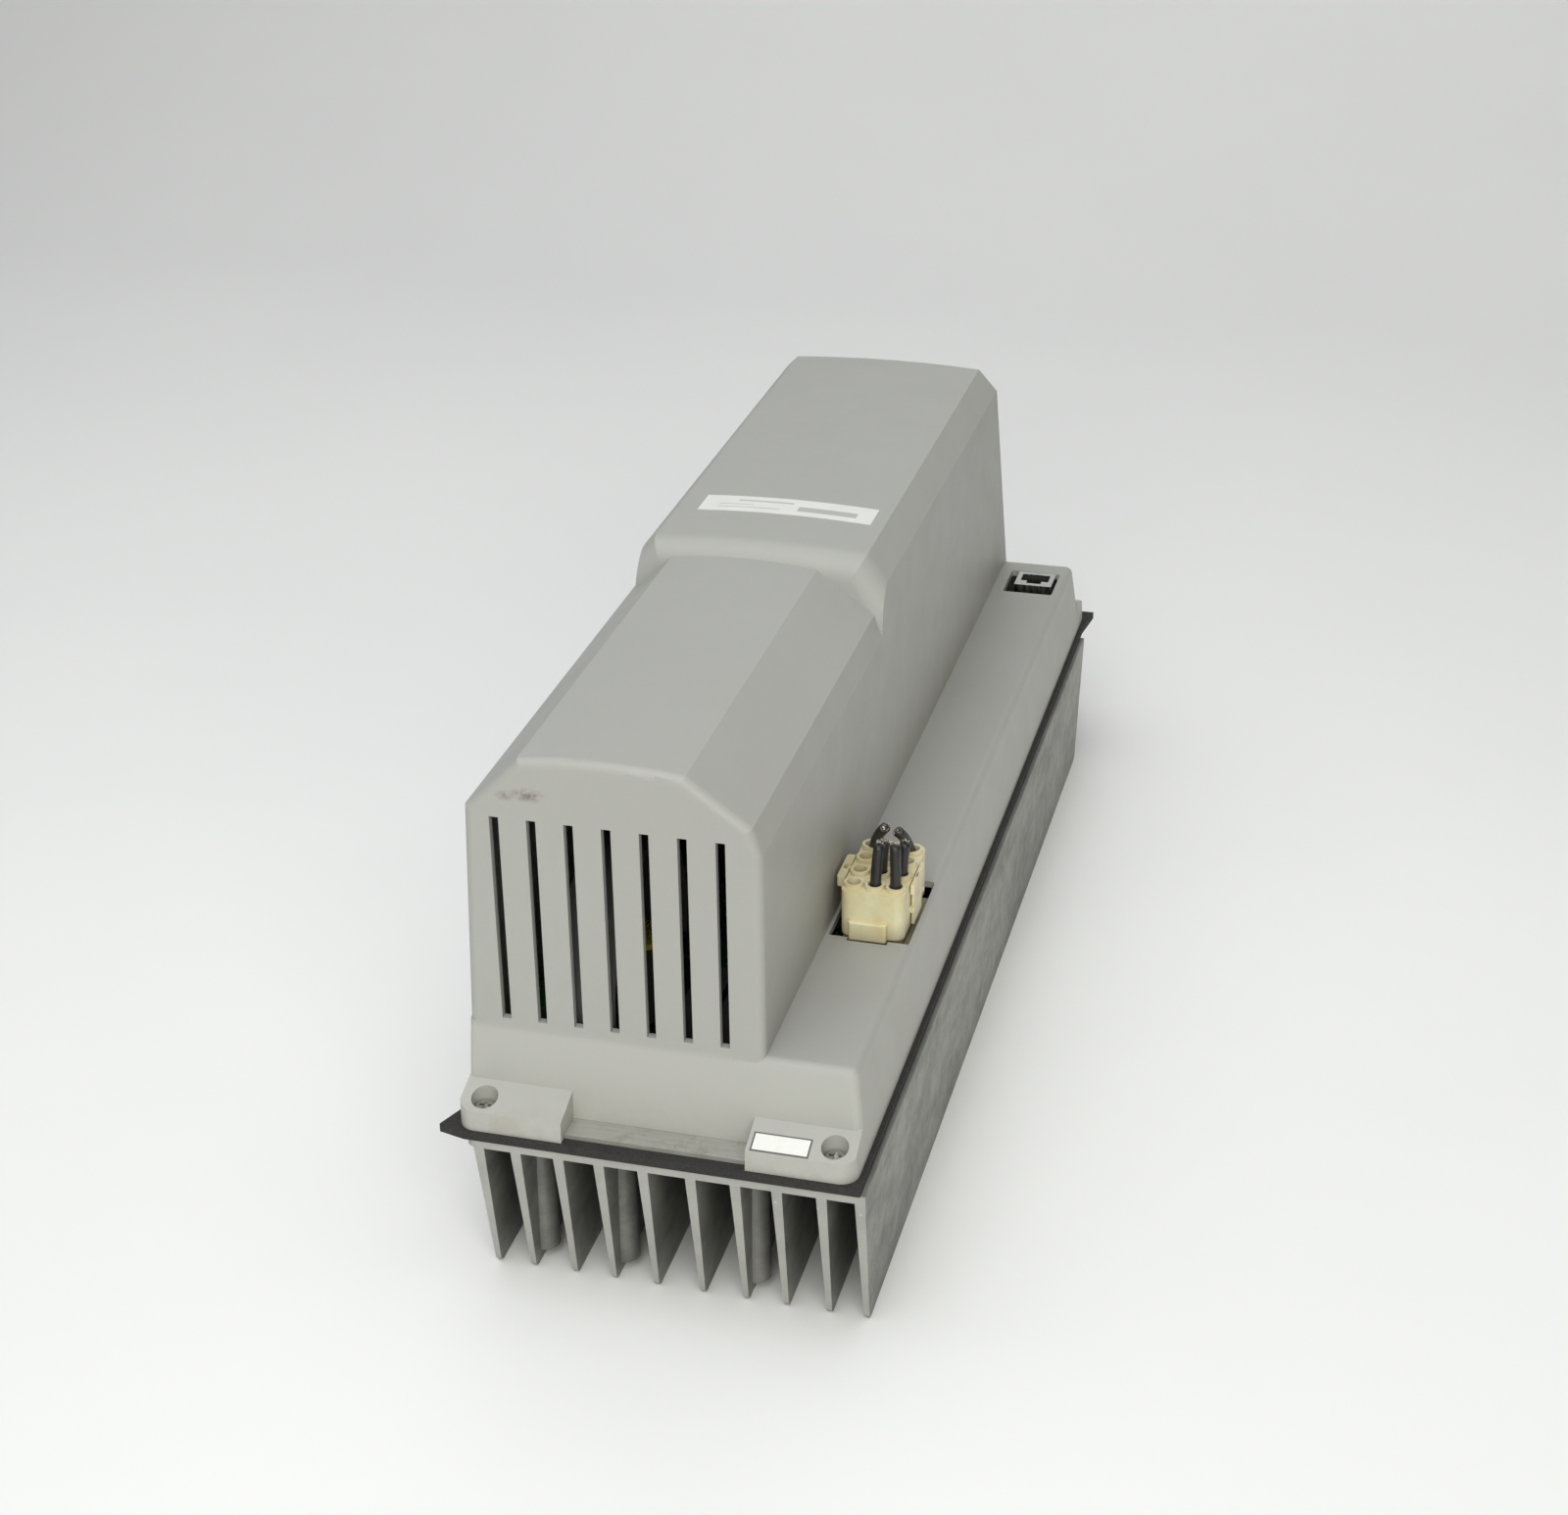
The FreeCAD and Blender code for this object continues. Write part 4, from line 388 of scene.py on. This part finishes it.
for node, finish in (
        ("heat_sink", casting_material()), ("sealing_gasket", foam_material()),
        ("chassis_plate", chassis_material()), ("chassis_screws", STEEL), ("clinch_nuts", STEEL),
        ("cover", cover_material()), ("screw_retainers", NYLON_WASHER), ("power_board", BOARD),
        ("board_columns", STEEL), ("board_screws", STEEL), ("rectifier_module", MODULE),
        ("inverter_module", MODULE), ("thermal_pads", PASTE), ("module_screws", STEEL),
        ("module_pins", TIN), ("dc_link_capacitors", SLEEVE), ("capacitor_clamp", CLAMP),
        ("clamp_posts", STEEL), ("clamp_screws", STEEL), ("control_board", BOARD),
        ("control_header", BLACK), ("control_chips", EPOXY), ("choke_core", FERRITE),
        ("choke_windings", winding_material()), ("choke_base", BLACK), ("flat_cable", CABLE),
        ("cable_plugs", BLACK), ("current_sensors", SENSOR), ("charge_relay", RELAY),
        ("film_capacitors", FILM_BOX), ("data_socket_shield", SHIELD), ("data_socket_insert", BLACK),
        ("data_socket_contacts", GOLD), ("power_header", NYLON), ("header_pins", TIN),
        ("plug_housing", NYLON), ("plug_latch_left", NYLON), ("plug_latch_right", NYLON),
        ("plug_terminals", TIN), ("wire_stubs", WIRE), ("wire_strands", STRAND),
        ("type_label", film_label_material()), ("number_sticker", paper_tag_material()),
        ("captive_screw_front_left", STEEL), ("captive_screw_front_right", STEEL),
        ("captive_screw_rear_left", STEEL), ("captive_screw_rear_right", STEEL)):
    dress(node, finish)


# ---------------------------------------------------------------- pieces built here

class Builder:
    """Collects closed shapes in one mesh and turns them into one piece."""

    def __init__(self):
        self.bm = bmesh.new()

    def loft(self, rings, smooth=True):
        """Skin a stack of equal rings and close both ends."""
        rows = [[self.bm.verts.new(p) for p in ring] for ring in rings]
        count = len(rows[0])
        for a, b in zip(rows, rows[1:]):
            for i in range(count):
                face = self.bm.faces.new((a[i], a[(i + 1) % count], b[(i + 1) % count], b[i]))
                face.smooth = smooth
        self.bm.faces.new(rows[0][::-1])
        self.bm.faces.new(rows[-1])

    def tube(self, points, radii, sides, wobble=0.0, dice=None):
        """Sweep a round section along a smooth line of points."""
        points = [Vector(p) for p in points]
        side = Vector((1.0, 0.0, 0.0))
        rings = []
        for i, point in enumerate(points):
            along = (points[min(i + 1, len(points) - 1)] - points[max(i - 1, 0)]).normalized()
            side = (side - along * side.dot(along)).normalized()
            up = along.cross(side)
            radius = radii[i] if isinstance(radii, (list, tuple)) else radii
            swell = 1.0 + (dice.uniform(-wobble, wobble) if dice else 0.0)
            rings.append([point + (side * math.cos(t) + up * math.sin(t)) * radius * swell
                          for t in (2 * math.pi * k / sides for k in range(sides))])
        self.loft(rings)

    def slab(self, x0, x1, y0, y1, z0, z1, cut):
        """Box whose upper edges are chamfered."""
        rings = []
        for inset, z in ((0.0, z0), (0.0, z1 - cut), (cut, z1)):
            rings.append([Vector(p) for p in ((x0 + inset, y0 + inset, z), (x1 - inset, y0 + inset, z),
                                              (x1 - inset, y1 - inset, z), (x0 + inset, y1 - inset, z))])
        self.loft(rings, False)

    def turned(self, x, y, profile, sides):
        """Round body from (radius, height) pairs, bottom first."""
        self.loft([[Vector((x + r * math.cos(t), y + r * math.sin(t), z))
                    for t in (2 * math.pi * k / sides for k in range(sides))] for r, z in profile])

    def piece(self, name, material, body, slot, *replaced):
        """Turn what was collected into one object that rides a body and stands in for CAD nodes."""
        bmesh.ops.recalc_face_normals(self.bm, faces=self.bm.faces)
        mesh = bpy.data.meshes.new(name)
        self.bm.to_mesh(mesh)
        self.bm.free()
        mesh.materials.append(material)
        made = bpy.data.objects.new(name, mesh)
        bpy.context.scene.collection.objects.link(made)
        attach(made, body)
        if replaced:
            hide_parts(*replaced)


def arc_points(start, knee, tip, count=14):
    """A smooth line from start to tip that bends near the knee."""
    points = []
    for i in range(count + 1):
        t = i / count
        points.append(start * (1 - t) ** 2 + knee * (2 * t * (1 - t)) + tip * t ** 2)
    return points


# cut wires: column, row, and how far in mm the tip leans in X, in Y and rises
WIRE_STUBS = ((1, 0, 0.8, 2.5, 12.5), (2, 0, -0.8, 2.2, 13.0), (1, 1, 0.7, 2.4, 8.5), (2, 1, 0.7, 2.0, 9.5),
              (0, 3, 6.0, -7.0, 9.5), (2, 3, -4.0, -6.0, 8.0))
CELL_PITCH = (7.1 * MM, 8.9 * MM)
END_BORDER = 5.35 * MM
WIRE_RADIUS = 1.85 * MM
WIRE_START_DEPTH = 9.0 * MM
LAST_ROW = 3
STRANDS = 19
FIRST_RING = 7
STRAND_TURN = 2.399
STRAND_SPACING = 0.42 * MM
STRAND_RADIUS = 0.2 * MM


def cut_wires():
    """Insulated wires cut off just above the plug, with their copper strands showing."""
    dice = random.Random(11)
    jackets, copper = Builder(), Builder()
    middle = (plug_low.x + plug_high.x) / 2
    for column, row, dx, dy, dz in WIRE_STUBS:
        start = Vector((middle + (column - 1) * CELL_PITCH[0],
                        plug_high.y - END_BORDER - (LAST_ROW - row) * CELL_PITCH[1],
                        plug_high.z - WIRE_START_DEPTH))
        knee = Vector((start.x, start.y, plug_high.z + 2.2 * MM))
        tip = Vector((start.x + dx * MM, start.y + dy * MM, plug_high.z + (1.0 + dz) * MM))
        line = arc_points(start, knee, tip)
        end = (line[-1] - line[-2]).normalized()
        rim = [tip, tip + end * 0.12 * MM, tip + end * 0.1 * MM, tip - end * 0.5 * MM]
        radii = [WIRE_RADIUS] * len(line) + [WIRE_RADIUS * 0.97, WIRE_RADIUS * 0.9, WIRE_RADIUS * 0.66,
                                             WIRE_RADIUS * 0.6]
        jackets.tube(line + rim, radii, 20, 0.012, dice)
        side = end.orthogonal().normalized()
        for k in range(STRANDS):
            ring = 0 if k == 0 else (1 if k < FIRST_RING else 2)
            turn = k * STRAND_TURN + column
            out = side * math.cos(turn) + end.cross(side) * math.sin(turn)
            foot = tip - end * 0.45 * MM + out * ring * STRAND_SPACING
            splay = dice.uniform(0.05, 0.28) * ring
            reach = dice.uniform(0.9, 1.9)
            copper.tube([foot, foot + end * 0.6 * MM, foot + (end + out * splay * 0.5) * reach * 0.8 * MM,
                         foot + (end + out * splay) * reach * MM], STRAND_RADIUS, 7)
    jackets.piece("cut_wire_jackets", WIRE, "plug", "wire_insulation", "wire_stubs")
    copper.piece("cut_wire_copper", STRAND, "plug", "copper_strand", "wire_strands")


def package(body, leads, x, y, top):
    """Moulded eight-lead chip with bent leads on both sides."""
    half_wide, half_deep, foot, height, cut = 2.2 * MM, 2.6 * MM, 0.2 * MM, 1.7 * MM, 0.25 * MM
    lead_pitch, lead_radius = 1.27, 0.17 * MM
    body.slab(x - half_wide, x + half_wide, y - half_deep, y + half_deep, top + foot, top + height, cut)
    for side in (-1, 1):
        for k in range(4):
            lead_y = y + (k - 1.5) * lead_pitch * MM
            leads.tube([(x + side * out * MM, lead_y, top + up * MM)
                        for out, up in ((2.1, 0.9), (2.6, 0.85), (2.85, 0.2), (3.3, 0.12))], lead_radius, 6)


def ceramic_chip(body, leads, x, y, top, wide, deep):
    """Small two-ended chip part with a solder cone at each end; wide and deep are half sizes in mm."""
    height, cut, overhang, cone = 0.9 * MM, 0.12 * MM, 0.1, ((0.75, 0.0), (0.6, 0.4), (0.2, 0.7))
    body.slab(x - wide * MM, x + wide * MM, y - deep * MM, y + deep * MM, top, top + height, cut)
    for side in (-1, 1):
        end_x = x + side * (wide + overhang) * MM if wide > deep else x
        end_y = y if wide > deep else y + side * (deep + overhang) * MM
        leads.turned(end_x, end_y, [(r * MM, top + up * MM) for r, up in cone], 10)


def small_can(body, x, y, top):
    """Small round capacitor with a crimped foot and a dished top."""
    radius = 2.4 * MM
    profile = ((0.96, 0.0), (1.0, 0.4), (1.0, 1.0), (0.93, 1.3), (1.0, 1.6), (1.0, 6.6), (0.92, 7.0),
               (0.8, 6.85))
    body.turned(x, y, [(radius * share, top + up * MM) for share, up in profile], 20)


def board_parts():
    """Small parts that fill the free areas of the power board."""
    dice = random.Random(5)
    board_low, board_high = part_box("power_board")
    margin, edge, step, jitter = 3.0 * MM, 10.0 * MM, 8.5 * MM, 1.2
    packages_to, chips_across_to, chips_to, cans_to = 0.25, 0.45, 0.6, 0.7
    taken = [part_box(n) for n in ("choke_base", "cable_plugs", "current_sensors", "charge_relay",
                                 "film_capacitors", "dc_link_capacitors", "clamp_posts", "control_header",
                                 "data_socket_shield", "power_header")]
    black, tan, bright, cans = Builder(), Builder(), Builder(), Builder()
    top = board_high.z
    y = board_low.y + edge
    while y < board_high.y - edge:
        x = board_low.x + edge
        while x < board_high.x - edge:
            px, py = x + dice.uniform(-jitter, jitter) * MM, y + dice.uniform(-jitter, jitter) * MM
            kind = dice.random()
            free = all(px < a.x - margin or px > b.x + margin or py < a.y - margin or py > b.y + margin
                       for a, b in taken)
            if free and kind < packages_to:
                package(black, bright, px, py, top)
            elif free and kind < chips_to:
                half_sizes = (1.6, 0.8) if kind < chips_across_to else (0.8, 1.6)
                ceramic_chip(tan, bright, px, py, top, *half_sizes)
            elif free and kind < cans_to:
                small_can(cans, px, py, top)
            x += step
        y += step
    black.piece("board_packages", EPOXY, "heat_sink_assembly", "chip_epoxy")
    tan.piece("board_chips", CERAMIC, "heat_sink_assembly", "chip_epoxy")
    bright.piece("board_leads", TIN, "heat_sink_assembly", "tinned_copper")
    cans.piece("board_cans", SLEEVE, "heat_sink_assembly", "capacitor_sleeve")


def can_lids():
    """Rolled metal lid with a stepped vent on each large capacitor."""
    lids = Builder()
    a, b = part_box("dc_link_capacitors")
    radius, pitch, top = 16.0 * MM, 35.5 * MM, b.z
    columns, rows = 2, 3
    profile = ((0.88, -0.2), (0.9, 0.5), (0.84, 0.8), (0.8, 0.25), (0.3, 0.2), (0.27, 0.5), (0.1, 0.55))
    for i in range(columns):
        for j in range(rows):
            lids.turned(a.x + radius + i * pitch, a.y + radius + j * pitch,
                        [(radius * share, top + up * MM) for share, up in profile], 40)
    lids.piece("can_lids", STEEL, "heat_sink_assembly", "zinc_steel")


cut_wires()
board_parts()
can_lids()


# ---------------------------------------------------------------- floor, light and camera

def floor():
    """Pale board that sweeps up behind the object."""
    reach, rise, radius = 3.0, 2.5, 0.9
    back = high.y + 1.5
    profile = [(-reach, 0.0), (back - radius, 0.0)]
    steps = 24
    for i in range(1, steps + 1):
        turn = math.pi / 2 * i / steps
        profile.append((back - radius + radius * math.sin(turn), radius - radius * math.cos(turn)))
    profile.append((back, rise))
    mesh = bpy.data.meshes.new("floor")
    points = [(x, y, z) for y, z in profile for x in (-reach, reach)]
    faces = [(2 * i, 2 * i + 1, 2 * i + 3, 2 * i + 2) for i in range(len(profile) - 1)]
    mesh.from_pydata(points, [], faces)
    mesh.polygons.foreach_set("use_smooth", [True] * len(faces))
    made = bpy.data.objects.new("floor", mesh)
    bpy.context.scene.collection.objects.link(made)
    g = Graph("floor_board")
    tone = g.mix(g.span(g.noise(3.0, 4.0), 0.35, 0.7), (0.93, 0.93, 0.935), (0.9, 0.9, 0.91))
    scuff = g.span(g.noise(25.0, 9.0, 0.8), 0.68, 0.8, 0.0, 0.3)
    mesh.materials.append(g.finish(g.mix(scuff, tone, (0.6, 0.6, 0.6)), 0.6))


def area(name, place, aim, size, power, color):
    """Rectangular lamp at place, facing aim; size in metres, power in watts."""
    light = bpy.data.lights.new(name, "AREA")
    light.shape = "RECTANGLE"
    light.size, light.size_y = size
    light.energy = power
    light.color = color
    made = bpy.data.objects.new(name, light)
    made.location = place
    made.rotation_euler = (Vector(aim) - Vector(place)).to_track_quat("-Z", "Y").to_euler()
    bpy.context.scene.collection.objects.link(made)


def camera():
    """The photograph's viewpoint: a longish lens, above and to the right of the vented end."""
    yaw, pitch, roll = 0.263855, 0.472871, 0.013060
    forward = Vector((-math.sin(yaw) * math.cos(pitch), math.cos(yaw) * math.cos(pitch), -math.sin(pitch)))
    right = Vector((math.cos(yaw), math.sin(yaw), 0.0))
    down = forward.cross(right)
    right, down = (right * math.cos(roll) + down * math.sin(roll),
                   down * math.cos(roll) - right * math.sin(roll))
    data = bpy.data.cameras.new("camera")
    data.sensor_fit = "HORIZONTAL"
    data.sensor_width = 36.0
    data.lens = 61.10
    data.clip_end = 20.0
    made = bpy.data.objects.new("camera", data)
    basis = Matrix((right, -down, -forward)).transposed().to_4x4()
    aside, ahead, height = 0.216497, 0.647866, 0.547223
    place = ((sink_low.x + sink_high.x) / 2 + aside, sink_low.y - ahead, height)
    made.matrix_world = Matrix.Translation(place) @ basis
    bpy.context.scene.collection.objects.link(made)
    bpy.context.scene.camera = made


floor()
area("top_light", (-0.2, -0.25, 1.7), (0.0, 0.0, 0.1), (2.2, 2.2), 24.0, (0.98, 1.0, 1.01))
area("front_light", (0.6, -1.9, 1.1), (0.0, 0.0, 0.1), (1.8, 1.4), 25.0, (1.0, 1.0, 0.9))
area("near_light", (-0.1, -0.9, 1.2), (0.0, -0.15, 0.1), (0.8, 0.6), 2.9, (1.0, 1.0, 0.96))
area("right_light", (1.4, -0.5, 0.25), (0.0, -0.1, 0.03), (1.2, 0.4), 0.9, (1.0, 1.0, 0.6))
world = bpy.data.worlds.new("studio")
world.use_nodes = True
background = world.node_tree.nodes["Background"]
background.inputs["Color"].default_value = (1.0, 1.0, 0.96, 1.0)
background.inputs["Strength"].default_value = 0.06
bpy.context.scene.world = world
bpy.context.scene.view_settings.view_transform = "Standard"
camera()
